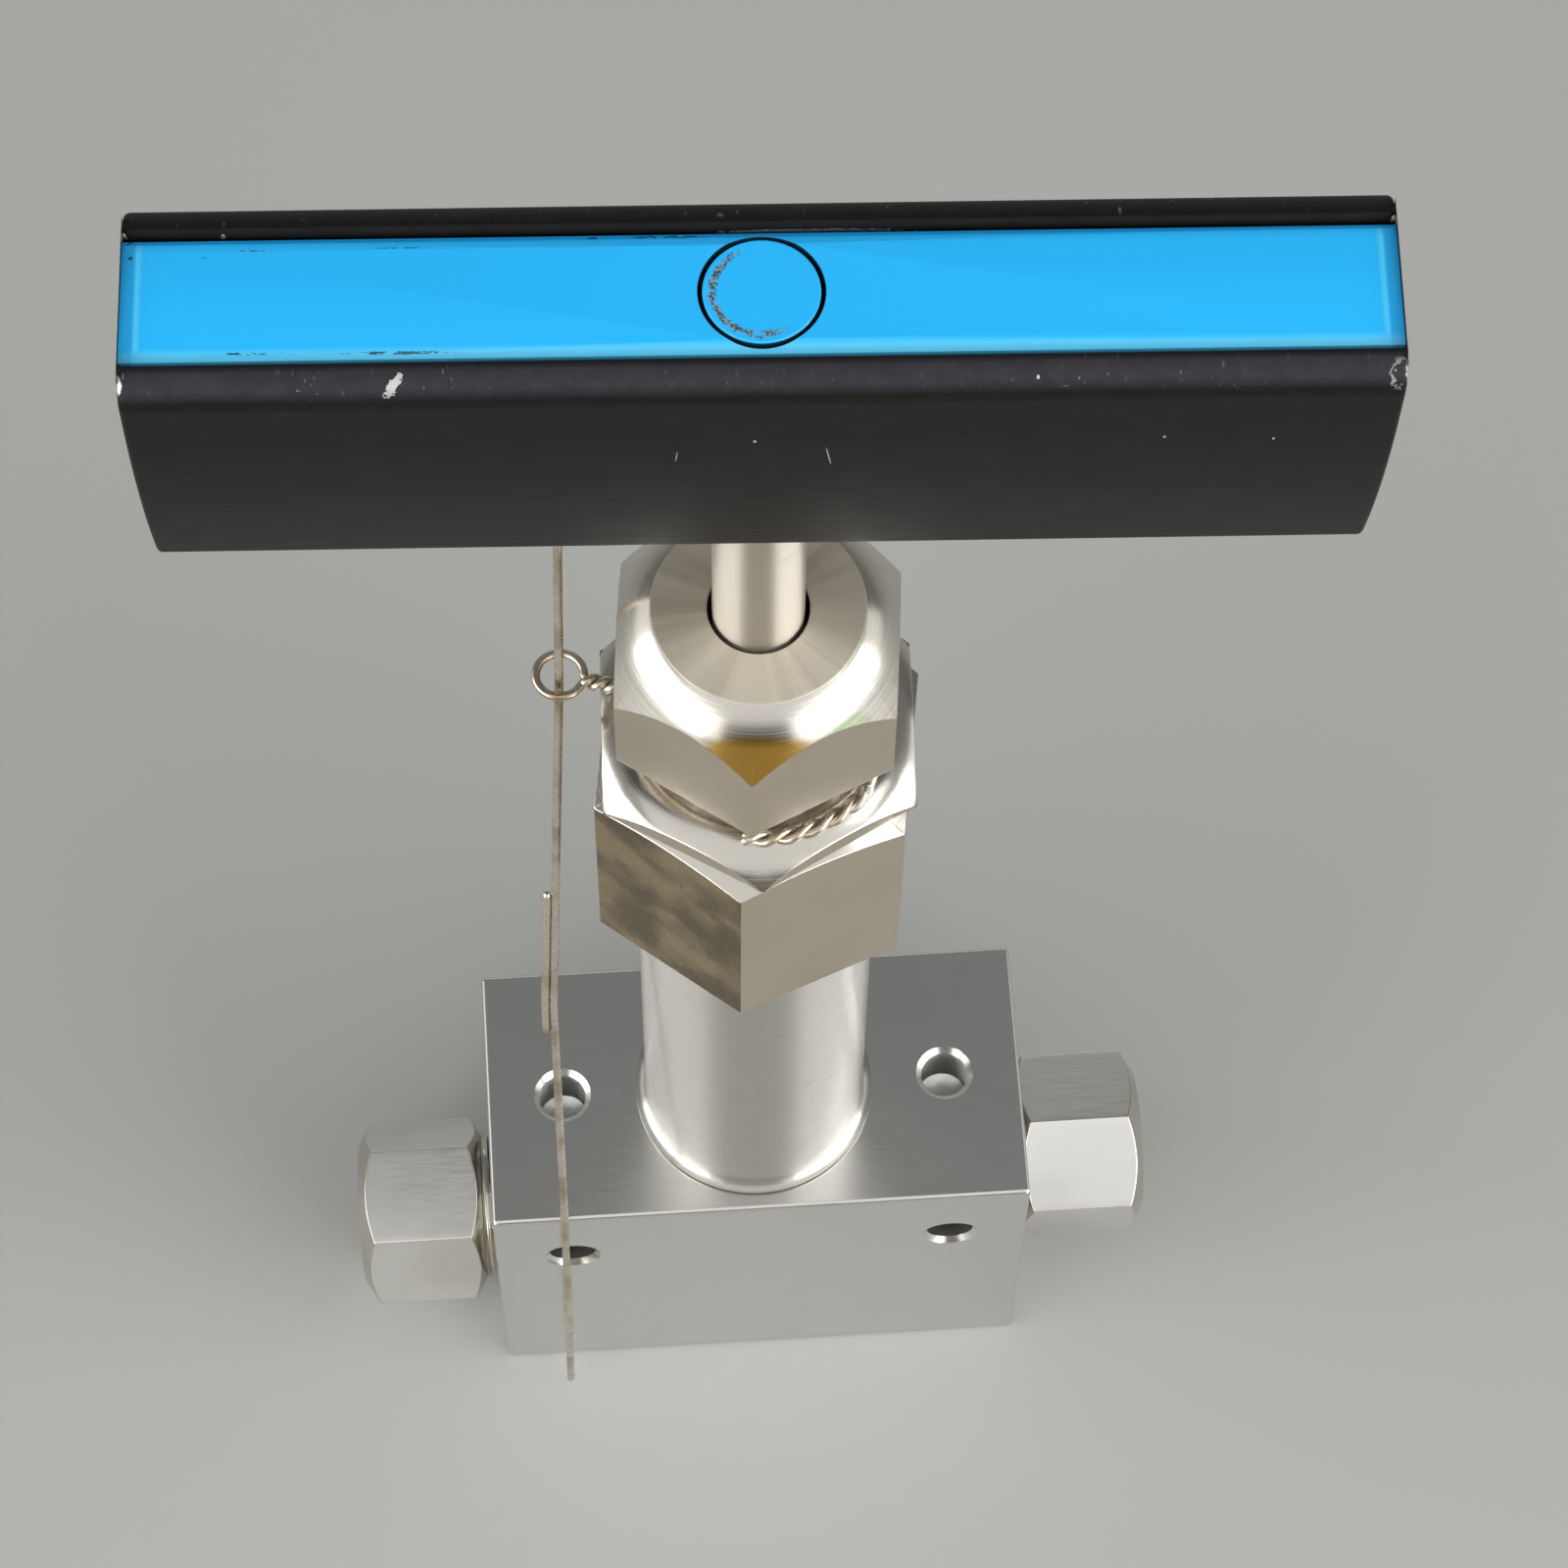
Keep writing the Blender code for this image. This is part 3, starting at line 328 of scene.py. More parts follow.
# Dark clouds on that flat, partly stain and partly painted shade
DARK_STAIN_AND_SHADE = (0.095, 0.062, 0.022)
# Amber of a painted reflection on the gland's cone
AMBER_REFLECTION_TINT = (0.48, 0.34, 0.10)
GREEN_TINT = (0.46, 0.53, 0.36)
BARE_METAL = (0.62, 0.61, 0.59)
BLACK_ANODISE = (0.0062, 0.0060, 0.0060)
SOFT_BLACK = (0.0100, 0.0096, 0.0094)
# Grey of the worn shoulders, partly a painted sheen
RUBBED_SHEEN_ANODISE = (0.046, 0.043, 0.053)
SCRATCHED_ANODISE = (0.200, 0.195, 0.200)
BLUE_ACRYLIC = (0.020, 0.490, 1.000)
# Painted light on the strip: a painted highlight at its front edge and ends, then painted shade at its back
# and ends
PAINTED_HIGHLIGHT_ACRYLIC = (0.140, 0.720, 1.000)
PAINTED_SHADE_ACRYLIC = (0.010, 0.250, 0.600)
# Grime on the strip, also the colour of the painted shade along the gap round the plug
STRIP_GRIME_AND_GAP_SHADE = (0.012, 0.030, 0.045)
ADHESIVE_DARK = (0.016, 0.036, 0.040)
ADHESIVE_PALE = (0.26, 0.30, 0.26)
GRAPHITE = (0.060, 0.060, 0.065)
GRAPHITE_SHEEN = (0.10, 0.10, 0.105)
ACRYLIC_IOR = 1.49

RECORD = frame["record"]
BODY_OF = {node: body for body, nodes in RECORD["behaviour"]["bodies"].items() for node in nodes}
SLOT_OF = {part["node"]: part["material_slot"] for part in RECORD["subparts"]}


# Meshes

def rounded(corners):
    """Points of a closed outline of (across, up) corners. A third value is the radius of a rounded one."""
    points = []
    for place, (across, up, *edge) in enumerate(corners):
        corner = Vector((across, up))
        if not edge:
            points.append(corner)
            continue
        before = Vector(corners[place - 1][:2]) - corner
        after = Vector(corners[(place + 1) % len(corners)][:2]) - corner
        reach = edge[0] / tan(before.angle(after) / 2)
        start = corner + before.normalized() * reach
        end = corner + after.normalized() * reach
        for step in range(EDGE_STEPS + 1):
            share = step / EDGE_STEPS
            points.append(start.lerp(corner, share).lerp(corner.lerp(end, share), share))
    return points


def arc(centre, radius, start, end, steps=ARC_STEPS):
    """Points on an arc, both ends included, with angles in degrees."""
    angles = [radians(start + (end - start) * step / steps) for step in range(steps + 1)]
    return [(centre[0] + radius * cos(a), centre[1] + radius * sin(a)) for a in angles]


def placed(name, data):
    """A new object in the scene."""
    piece = bpy.data.objects.new(name, data)
    bpy.context.scene.collection.objects.link(piece)
    return piece


def finish_mesh(name, shape):
    """Turns a bmesh into a smooth-shaded object in the scene."""
    bmesh.ops.remove_doubles(shape, verts=shape.verts, dist=MERGE_DISTANCE)
    bmesh.ops.recalc_face_normals(shape, faces=shape.faces)
    mesh = bpy.data.meshes.new(name)
    shape.to_mesh(mesh)
    shape.free()
    mesh.shade_smooth()
    return placed(name, mesh)


def bridge(shape, left, right, first=0):
    """Faces between two rows of vertices, closed into loops unless first is 1."""
    for place in range(first, len(left)):
        shape.faces.new((left[place - 1], left[place], right[place], right[place - 1]))


def woven(name, columns):
    """A closed skin through columns of points: each column is a closed loop, and the last joins the first."""
    shape = bmesh.new()
    grid = [[shape.verts.new(point) for point in column] for column in columns]
    for left, right in zip(grid, grid[1:] + grid[:1]):
        bridge(shape, left, right)
    return finish_mesh(name, shape)


def swung(section, angle):
    """A section of (radius, height) points stood up at an angle about Z."""
    return [(r * cos(angle), r * sin(angle), z) for r, z in section]


def turned(name, profile, steps=ROUND_STEPS):
    """A turned piece. profile(angle) gives its section's corners as radius, height and any edge radius."""
    angles = [2 * pi * step / steps for step in range(steps)]
    return woven(name, [swung(rounded(profile(angle)), angle) for angle in angles])


def cylinder(name, radius, top, bottom, steps=ROUND_STEPS):
    """A plain round bar on the Z axis, to cut a bore with."""
    return turned(name, lambda angle: [(0, top), (radius, top), (radius, bottom), (0, bottom)], steps)


def paint_flats(piece, across_flats):
    """Gives the milled flats of a hexagon the piece's second material."""
    flat = across_flats / 2
    for face in piece.data.polygons:
        upright = abs(face.normal.z) < FLAT_TILT
        if upright and face.center.xy.length > flat - MERGE_DISTANCE:
            face.material_index = 1


def hexed(name, across_flats, turn, profile):
    """A turned and milled piece with a corner to the front, but for its turn.

    profile(reach, angle) gives its section where the flats stand reach out.
    """
    flat = across_flats / 2
    centre = (flat - HEX_EDGE) / cos(pi / 6)
    bend = pi / 6 - atan2(centre / 2, flat)
    offsets = []
    for start, end, steps in ((-pi / 6, -bend, FLAT_STEPS), (-bend, bend, CORNER_STEPS),
                              (bend, pi / 6, FLAT_STEPS)):
        offsets += [start + (end - start) * step / steps for step in range(steps)]
    columns = []
    for side in range(6):
        for offset in offsets:
            if abs(offset) < bend:
                across = centre * sin(offset)
                reach = centre * cos(offset) + sqrt(HEX_EDGE ** 2 - across ** 2)
            else:
                reach = flat / cos(pi / 6 - abs(offset))
            angle = turn - pi / 2 + side * pi / 3 + offset
            columns.append(swung(rounded(profile(reach, angle)), angle))
    piece = woven(name, columns)
    paint_flats(piece, across_flats)
    return piece


def thread(radius, depth, pitch, top, bottom, angle):
    """Corners down a right-hand thread, cut depth into the radius, that runs out at both ends."""
    rows = ceil((top - bottom) / pitch * THREAD_ROWS)
    corners = []
    for row in range(1, rows):
        z = top + (bottom - top) * row / rows
        groove = abs(2 * ((z / pitch - angle / (2 * pi)) % 1) - 1)
        run_out = min(1, 2 * (top - z) / pitch, 2 * (z - bottom) / pitch)
        corners.append((radius - depth * groove * run_out, z))
    return corners


def extruded(name, outline, stations):
    """An outline of (y, z) points drawn along X through stations of (x, inset), with closed ends."""
    count = len(outline)
    points = [Vector(point) for point in outline]
    inward = []
    for place, point in enumerate(points):
        before = (point - points[place - 1]).normalized()
        after = (points[(place + 1) % count] - point).normalized()
        along = (before + after).normalized()
        inward.append(Vector((along.y, -along.x)) / max(along.dot(after), MITRE_LIMIT))
    shape = bmesh.new()
    rings = []
    for x, inset in stations:
        ring = [point + normal * inset for point, normal in zip(points, inward)]
        rings.append([shape.verts.new((x, y, z)) for y, z in ring])
    for left, right in zip(rings, rings[1:]):
        bridge(shape, left, right)
    shape.faces.new(rings[0])
    shape.faces.new(reversed(rings[-1]))
    return finish_mesh(name, shape)


def carve(piece, cutters):
    """Cuts the cutters out of a piece and removes them."""
    for cutter in cutters:
        boolean = piece.modifiers.new("Cut", "BOOLEAN")
        boolean.operation = "DIFFERENCE"
        boolean.solver = "EXACT"
        boolean.object = cutter
    bpy.context.view_layer.update()
    evaluated = piece.evaluated_get(bpy.context.evaluated_depsgraph_get())
    mesh = bpy.data.meshes.new_from_object(evaluated)
    piece.modifiers.clear()
    piece.data = mesh
    for cutter in cutters:
        bpy.data.objects.remove(cutter)
    return piece


def keep_flat(piece):
    """Shades flats flat and rounded edges round."""
    piece.data.set_sharp_from_angle(angle=SMOOTH_ANGLE)
    normals = piece.modifiers.new("Normals", "WEIGHTED_NORMAL")
    normals.keep_sharp = True


def blunted(path):
    """A path with its (point, thickness) pairs, thinned in steps at both ends so that the wire ends round."""
    stops = [pi / 2 * step / EDGE_STEPS for step in range(1, EDGE_STEPS)]

    def end(tip, onward):
        along = (onward - tip).normalized() * WIRE_RADIUS
        return [(tip + along * (1 - cos(stop)), sin(stop)) for stop in stops] + [(tip + along, 1.0)]

    middle = [(point, 1.0) for point in path[1:-1]]
    return end(path[0], path[1]) + middle + end(path[-1], path[-2])[::-1]


def wire(name, *paths):
    """A round wire along each path, all in one piece."""
    data = bpy.data.curves.new(name, "CURVE")
    data.dimensions = "3D"
    data.bevel_depth = WIRE_RADIUS
    data.bevel_resolution = WIRE_RESOLUTION
    data.use_fill_caps = True
    for path in paths:
        spline = data.splines.new("POLY")
        points = blunted(path)
        spline.points.add(len(points) - 1)
        for point, (place, thickness) in zip(spline.points, points):
            point.co = (*place, 1)
            point.radius = thickness
        spline.use_smooth = True
    return placed(name, data)


def round_turn(centre, start, end):
    """Points round a centre from one (angle, radius, level) to another."""
    steps = ceil(abs(end[0] - start[0]) / TIE_STEP)
    points = []
    for step in range(steps + 1):
        angle, radius, level = Vector(start).lerp(end, step / steps)
        away = Vector((cos(angle), sin(angle))) * radius
        points.append(Vector((*(Vector(centre) + away), level)))
    return points


def twisted(path, lead, phase):
    """A strand wound round a path, one turn for each lead."""
    strand = []
    run = 0.0
    for place, point in enumerate(path):
        before = path[max(place - 1, 0)]
        after = path[min(place + 1, len(path) - 1)]
        along = (after - before).normalized()
        side = along.cross(Vector((0, 0, 1))).normalized()
        run += (point - before).length
        angle = phase + 2 * pi * run / lead
        strand.append(point + (side * cos(angle) + side.cross(along) * sin(angle)) * WIRE_RADIUS)
    return strand


def stand_for(piece, node, *materials):
    """Dresses a piece and puts it in a node's place on that node's body."""
    if piece.type == "MESH":
        keep_flat(piece)
    for material in materials:
        piece.data.materials.append(material)
    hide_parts(node)
    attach(piece, BODY_OF[node])


# Finishes

class Finish:
    """A material under construction, with short ways to add nodes."""

    def __init__(self, name):
        self.material = bpy.data.materials.new(name)
        self.material.use_nodes = True
        self.tree = self.material.node_tree
        self.shader = self.tree.nodes["Principled BSDF"]

    def add(self, kind, inputs=None, **settings):
        node = self.tree.nodes.new(kind)
        for key, value in settings.items():
            setattr(node, key, value)
        for key, value in (inputs or {}).items():
            self.put(node.inputs[key], value)
        return node

    def put(self, socket, value):
        if isinstance(value, bpy.types.NodeSocket):
            self.tree.links.new(value, socket)
        else:
            socket.default_value = value

    def set(self, **values):
        """Sets or links the shader's own sockets, named with _ for a blank, and returns the material."""
        for key, value in values.items():
            self.put(self.shader.inputs[key.replace("_", " ")], value)
        return self.material

    def place(self):
        return self.add("ShaderNodeTexCoord").outputs["Object"]

    def stretch(self, vector, scale, turn=NO_TURN):
        inputs = {"Vector": vector, "Scale": scale, "Rotation": turn}
        return self.add("ShaderNodeMapping", inputs, vector_type="POINT").outputs["Vector"]

    def split(self, vector):
        return self.add("ShaderNodeSeparateXYZ", {"Vector": vector}).outputs

    def join(self, x, y, z=0.0):
        return self.add("ShaderNodeCombineXYZ", {"X": x, "Y": y, "Z": z}).outputs["Vector"]

    def maths(self, operation, first, second=0.0):
        return self.add("ShaderNodeMath", {0: first, 1: second}, operation=operation).outputs["Value"]

    def from_axis(self, x, y):
        return self.maths("SQRT", self.maths("ADD", self.both(x, x), self.both(y, y)))

    def noise(self, vector, scale, detail, roughness=0.5):
        inputs = {"Vector": vector, "Scale": scale, "Detail": detail, "Roughness": roughness}
        return self.add("ShaderNodeTexNoise", inputs).outputs["Fac"]

    def spread(self, value, low, high, to_low=0.0, to_high=1.0):
        """Eases a value from low to high into the range to_low to to_high."""
        inputs = {"Value": value, "From Min": low, "From Max": high, "To Min": to_low, "To Max": to_high}
        node = self.add("ShaderNodeMapRange", inputs, interpolation_type="SMOOTHSTEP")
        return node.outputs["Result"]

    def spot(self, place, centre, reach, turn=NO_TURN, ragged=0.0):
        """1 inside an ellipsoid and 0 outside. Ragged moves its rim in and out."""
        inputs = {"Vector": place, "Location": centre, "Rotation": turn, "Scale": reach}
        local = self.add("ShaderNodeMapping", inputs, vector_type="TEXTURE").outputs["Vector"]
        away = self.add("ShaderNodeVectorMath", {0: local}, operation="LENGTH").outputs["Value"]
        return self.spread(self.maths("ADD", away, ragged), 0.75, 1.0, 1.0, 0.0)

    def both(self, first, *others):
        """The product of two or more masks or values."""
        for other in others:
            first = self.maths("MULTIPLY", first, other)
        return first

    def either(self, first, second):
        return self.maths("MAXIMUM", first, second)

    def blend(self, share, first, second):
        """Mixes two colours."""
        node = self.add("ShaderNodeMix", data_type="RGBA")
        self.put(node.inputs["Factor"], share)
        for socket, colour in ((node.inputs[6], first), (node.inputs[7], second)):
            self.put(socket, (*colour, 1.0) if isinstance(colour, tuple) else colour)
        return node.outputs[2]

    def bump(self, height, strength, distance):
        inputs = {"Height": height, "Strength": strength, "Distance": distance}
        return self.add("ShaderNodeBump", inputs).outputs["Normal"]


def turned_steel(name, colour, roughness, anisotropy, stain=0.35, sector_shade=0.0, tints=()):
    """Steel with the fine rings that a lathe leaves round the piece's own Z axis.

    Sector shade darkens random sectors round the axis: partly chatter of the facing tool, partly painted
    shade standing for the facing's sheen. Tints are (centre, reach, colour) of coloured patches, one of them
    a painted reflection.
    """
    finish = Finish(name)
    place = finish.place()
    x, y, z = finish.split(place)
    radius = finish.from_axis(x, y)
    rings = finish.noise(finish.join(radius, z), 7000.0, 3.0)
    cloud = finish.noise(place, 160.0, 4.0)
    spots = finish.spread(finish.noise(place, 420.0, 5.0), 0.58, 0.78, 0.0, stain)
    colour = finish.blend(finish.both(spots, cloud), colour, STEEL_STAIN)
    # Darker random sectors round the axis: partly chatter, partly painted shade of the facing's sheen
    if sector_shade:
        bearing = finish.join(finish.maths("DIVIDE", x, radius), finish.maths("DIVIDE", y, radius))
        shaded_sectors = finish.spread(finish.noise(bearing, 2.4, 5.0, 0.6), 0.40, 0.68, 0.0, sector_shade)
        colour = finish.blend(shaded_sectors, colour, STEEL_STAIN)
    # Tinted patches: the amber one is a painted reflection
    for centre, reach, tint in tints:
        colour = finish.blend(finish.spot(place, centre, reach), colour, tint)
    return finish.set(
        Base_Color=colour,
        Roughness=finish.spread(rings, 0.25, 0.75, roughness - 0.05, roughness + 0.07),
        Metallic=1.0,
        Anisotropic=anisotropy,
        Anisotropic_Rotation=0.25,
        Tangent=finish.add("ShaderNodeTangent", direction_type="RADIAL", axis="Z").outputs["Tangent"],
        Normal=finish.bump(rings, strength=0.12, distance=0.00002),
    )


def drawn_steel(name, colour, roughness, stain, grain=(1.0, 1.0, 0.08), patches=(75.0, 0.40, 0.80),
                stain_colour=STEEL_STAIN):
    """Smooth steel bar stock with a faint grain and some brown staining.

    Patches gives the stains' fineness and the range of noise in which they grow.
    """
    finish = Finish(name)
    place = finish.place()
    lines = finish.noise(finish.stretch(place, grain), 5200.0, 3.0)
    fineness, low, high = patches
    cloud = finish.noise(place, fineness, 3.0)
    return finish.set(
        Base_Color=finish.blend(finish.spread(cloud, low, high, 0.0, stain), colour, stain_colour),
        Roughness=finish.spread(lines, 0.3, 0.7, roughness - 0.02, roughness + 0.03),
        Metallic=1.0,
        Normal=finish.bump(lines, strength=0.015, distance=0.00002),
    )


def black_anodise():
    """Satin black on the extruded bar, worn grey along its shoulders with a painted sheen that is fullest at
    the front, with scratches and bare chips.
    """
    finish = Finish("black_anodise")
    place = finish.place()
    _, y, z = finish.split(place)
    streaks = finish.noise(finish.stretch(place, (0.10, 1.0, 1.0)), 2600.0, 3.0)
    mottle = finish.noise(place, 300.0, 4.0)
    crest = BAR_HIGH.z
    shoulder = finish.both(finish.spread(finish.maths("SUBTRACT", crest, z), *RUB_SHEEN_DROP),
                           finish.spread(finish.maths("ABSOLUTE", y), *RUB_SHEEN_ACROSS))
    worn = finish.spread(finish.noise(place, 900.0, 5.0, 0.65), 0.30, 0.75, 0.46, 0.68)
    # Painted sheen: the front shoulder is made greyer than the back one
    front = finish.spread(y, *RUB_SHEEN_FRONT, 0.30, 1.0)
    rub_and_sheen = finish.both(shoulder, worn, front)
    scratches = 0.0
    for turn in SCRATCH_TURNS:
        path = finish.stretch(place, (1.0, 0.07, 1.0), (0.3, 0.2, turn))
        line = finish.spread(finish.noise(path, 2400.0, 1.0), 0.725, 0.765)
        scratches = finish.either(line, scratches)
    patchy = finish.spread(finish.noise(place, 120.0, 2.0), 0.45, 0.60, 0.15, 1.0)
    scratches = finish.both(scratches, shoulder, patchy)
    grit = finish.maths("SUBTRACT", finish.noise(place, 3200.0, 3.0, 0.6), 0.5)
    chips = 0.0
    for centre, reach, turn, ragged in BAR_CHIPS:
        low = (centre[0], centre[1], crest - centre[2])
        chips = finish.either(chips, finish.spot(place, low, reach, turn, finish.both(grit, ragged)))
    rim = finish.spot(place, *BAR_RIM_CHIP, ragged=finish.both(grit, 1.2))
    hollow = finish.spot(place, BAR_RIM_CHIP[0], BAR_RIM_HOLLOW, ragged=finish.both(grit, 1.6))
    chips = finish.either(chips, finish.maths("SUBTRACT", rim, hollow))
    black = finish.blend(finish.spread(mottle, 0.3, 0.7, 0.0, 0.35), BLACK_ANODISE, SOFT_BLACK)
    black = finish.blend(rub_and_sheen, black, RUBBED_SHEEN_ANODISE)
    black = finish.blend(finish.both(scratches, 0.6), black, SCRATCHED_ANODISE)
    relief = finish.maths("SUBTRACT", streaks, finish.both(chips, 3.0))
    return finish.set(
        Base_Color=finish.blend(chips, black, BARE_METAL),
        Metallic=chips,
        Roughness=finish.spread(streaks, 0.2, 0.8, 0.40, 0.46),
        Specular_IOR_Level=0.10,
        Normal=finish.bump(relief, strength=0.08, distance=0.00003),
    )


def blue_acrylic():
    """The strip: gloss blue, with a painted highlight at its front edge and near its ends, painted shade at
    its back, at its ends and round the plug's hole, scratched and worn in places.
    """
    finish = Finish("blue_acrylic")
    place = finish.place()
    x, y, _ = finish.split(place)
    from_end = finish.maths("SUBTRACT", HANDLE_LENGTH / 2, finish.maths("ABSOLUTE", x))
    from_front = finish.maths("ADD", y, PLATE_WIDTH / 2)
    from_back = finish.maths("SUBTRACT", PLATE_WIDTH / 2, y)
    # Painted highlight in a line near each end and along the front edge, painted shade at the back and ends
    painted_end_highlight = finish.both(finish.spread(from_end, *PAINTED_END_HIGHLIGHT_START),
                           finish.spread(from_end, *PAINTED_END_HIGHLIGHT_STOP, 0.5, 0.0))
    painted_front_highlight = finish.spread(from_front, *PAINTED_FRONT_HIGHLIGHT_SPAN, 0.60, 0.0)
    painted_end_shade = finish.spread(from_end, *PAINTED_END_SHADE_SPAN, 0.35, 0.0)
    painted_back_shade = finish.spread(from_back, *PAINTED_BACK_SHADE_SPAN, 0.85, 0.0)
    colour = finish.blend(finish.either(painted_end_highlight, painted_front_highlight), BLUE_ACRYLIC, PAINTED_HIGHLIGHT_ACRYLIC)
    colour = finish.blend(finish.either(painted_back_shade, painted_end_shade), colour, PAINTED_SHADE_ACRYLIC)
    ragged = finish.maths("SUBTRACT", finish.noise(place, 2600.0, 4.0, 0.7), 0.5)
    worn = 0.0
    for centre, reach in STRIP_MARKS:
        mark = finish.spot(place, (*centre, PLATE_HIGH.z), (*reach, PLATE_THICKNESS), ragged=ragged)
        worn = finish.either(worn, mark)
    broken = finish.spread(finish.noise(finish.stretch(place, (0.5, 1.0, 1.0)), 2900.0, 3.0), 0.44, 0.54)
    radius = finish.from_axis(x, y)
    # Painted shade along the hole's edge, at the gap round the plug
    hole_rim_shade = finish.spread(radius, PLUG_RADIUS + GAP, PLUG_RADIUS + GAP + PLUG_GAP_SHADE, 0.95, 0.0)
    grime_and_gap_shade = finish.either(finish.both(worn, broken, 0.85), hole_rim_shade)
    haze = finish.noise(place, 500.0, 4.0)
    return finish.set(
        Base_Color=finish.blend(grime_and_gap_shade, colour, STRIP_GRIME_AND_GAP_SHADE),
        Roughness=finish.spread(haze, 0.3, 0.7, 0.08, 0.16),
        IOR=ACRYLIC_IOR,
    )


def blue_plug():
    """The plug: the same blue, with a torn ring of old adhesive inside its left rim and painted shade round
    its edge.
    """
    finish = Finish("blue_plug")
    place = finish.place()
    x, y, _ = finish.split(place)
    radius = finish.from_axis(x, y)
    rough = finish.noise(place, 1500.0, 5.0, 0.7)
    wander = finish.maths("ADD", radius, finish.both(finish.maths("SUBTRACT", rough, 0.5), RESIDUE_WANDER))
    band = finish.both(finish.spread(wander, *RESIDUE_START), finish.spread(wander, *RESIDUE_STOP, 1.0, 0.0))
    left = finish.spread(finish.maths("ADD", x, finish.both(y, 0.5)), *RESIDUE_LEFT, 1.0, 0.0)
    torn = finish.spread(finish.noise(place, 1900.0, 4.0), 0.30, 0.48, 0.0, 0.9)
    residue = finish.both(band, left, torn)
    grit = finish.spread(finish.noise(place, 4200.0, 2.0), 0.44, 0.58)
    dirt = finish.blend(grit, ADHESIVE_DARK, ADHESIVE_PALE)
    # Painted shade along the plug's edge, at the gap
    plug_rim_shade = finish.spread(radius, PLUG_RADIUS - PLUG_GAP_SHADE, PLUG_RADIUS, 0.0, 0.95)
    return finish.set(
        Base_Color=finish.blend(plug_rim_shade, finish.blend(residue, BLUE_ACRYLIC, dirt), STRIP_GRIME_AND_GAP_SHADE),
        Roughness=finish.spread(residue, 0.0, 1.0, 0.12, 0.55),
        IOR=ACRYLIC_IOR,
        Normal=finish.bump(finish.both(residue, rough), strength=0.4, distance=0.00005),
    )


def wire_steel():
    finish = Finish("wire_steel")
    place = finish.place()
    tarnish = finish.spread(finish.noise(place, 240.0, 4.0), 0.42, 0.66)
    return finish.set(
        Base_Color=finish.blend(tarnish, WIRE_STEEL, WIRE_TARNISH),
        Roughness=finish.spread(finish.noise(place, 1800.0, 3.0), 0.3, 0.7, 0.22, 0.36),
        Metallic=1.0,
    )


def graphite():
    finish = Finish("graphite")
    braid = finish.noise(finish.place(), 2200.0, 4.0)
    return finish.set(
        Base_Color=finish.blend(finish.spread(braid, 0.35, 0.65), GRAPHITE, GRAPHITE_SHEEN),
        Roughness=0.55,
        Normal=finish.bump(braid, strength=0.4, distance=0.0001),
    )


def floor_finish():
    finish = Finish("floor")
    return finish.set(Base_Color=FLOOR_COLOUR, Roughness=0.75)


# Pieces

def gland_amber_reflection_and_green_patch():
    """The amber patch painted as a reflection on the cone at the gland's front corner, and the green patch to
    its right.
    """
    corner = GLAND_HEX_TURN - pi / 2
    right = corner + GLAND_GREEN_BEARING

    def mark(bearing, radius, drop, reach, tint):
        return (radius * cos(bearing), radius * sin(bearing), GLAND_HIGH.z - drop), reach, tint

    return (
        mark(corner, GLAND_REFLECTION_RADIUS, GLAND_REFLECTION_DROP, GLAND_REFLECTION_REACH, AMBER_REFLECTION_TINT),
        mark(right, GLAND_GREEN_RADIUS, GLAND_GREEN_DROP, GLAND_GREEN_REACH, GREEN_TINT),
    )


def make_body(ground):
    size = BODY_HIGH - BODY_LOW
    shape = bmesh.new()
    place = Matrix.Translation((BODY_LOW + BODY_HIGH) / 2) @ Matrix.Diagonal((*size, 1))
    bmesh.ops.create_cube(shape, size=1, matrix=place)
    bmesh.ops.bevel(shape, geom=shape.edges[:], offset=BODY_EDGE, offset_type="OFFSET", segments=EDGE_STEPS,
                    profile=0.5, affect="EDGES")
    block = finish_mesh("valve_block", shape)
    top = BODY_HIGH.z
    margin = 2 * COUNTERSINK
    cutters = [cylinder("cut_spigot", BORE_SPIGOT, top + margin, top - BORE_SPIGOT_DEPTH)]

    def tapped(angle):
        rows = thread(TOP_HOLE_RADIUS + TOP_HOLE_THREAD, TOP_HOLE_THREAD, TOP_HOLE_PITCH, -COUNTERSINK,
                      -TOP_HOLE_DEPTH, angle)
        return [(0, margin), (TOP_HOLE_RADIUS + COUNTERSINK + margin, margin),
                (TOP_HOLE_RADIUS, -COUNTERSINK), *rows, (TOP_HOLE_RADIUS, -TOP_HOLE_DEPTH),
                (0, -TOP_HOLE_DEPTH - TOP_HOLE_RADIUS / 2)]

    def drilled(angle):
        mouth = SIDE_HOLE_RADIUS + COUNTERSINK + margin
        return [(0, margin), (mouth, margin), (SIDE_HOLE_RADIUS, -COUNTERSINK),
                (SIDE_HOLE_RADIUS, COUNTERSINK - size.y), (mouth, -size.y - margin),
                (0, -size.y - margin)]

    for side in (-1, 1):
        hole = turned("cut_top", tapped, ROUND_STEPS // 2)
        hole.location = (side * TOP_HOLE_SPACING / 2, 0, top)
        way = turned("cut_side", drilled, ROUND_STEPS // 2)
        way.location = (side * SIDE_HOLE_SPACING / 2, BODY_LOW.y, top - SIDE_HOLE_DROP)
        way.rotation_euler.x = pi / 2
        port = cylinder("cut_port", BORE_PORT, margin, -BORE_PORT_DEPTH, ROUND_STEPS // 2)
        port.location = (side * size.x / 2, 0, OUTLET_HEIGHT if side > 0 else INLET_HEIGHT)
        port.rotation_euler.y = side * pi / 2
        cutters += [hole, way, port]
    stand_for(carve(block, cutters), "body", ground)


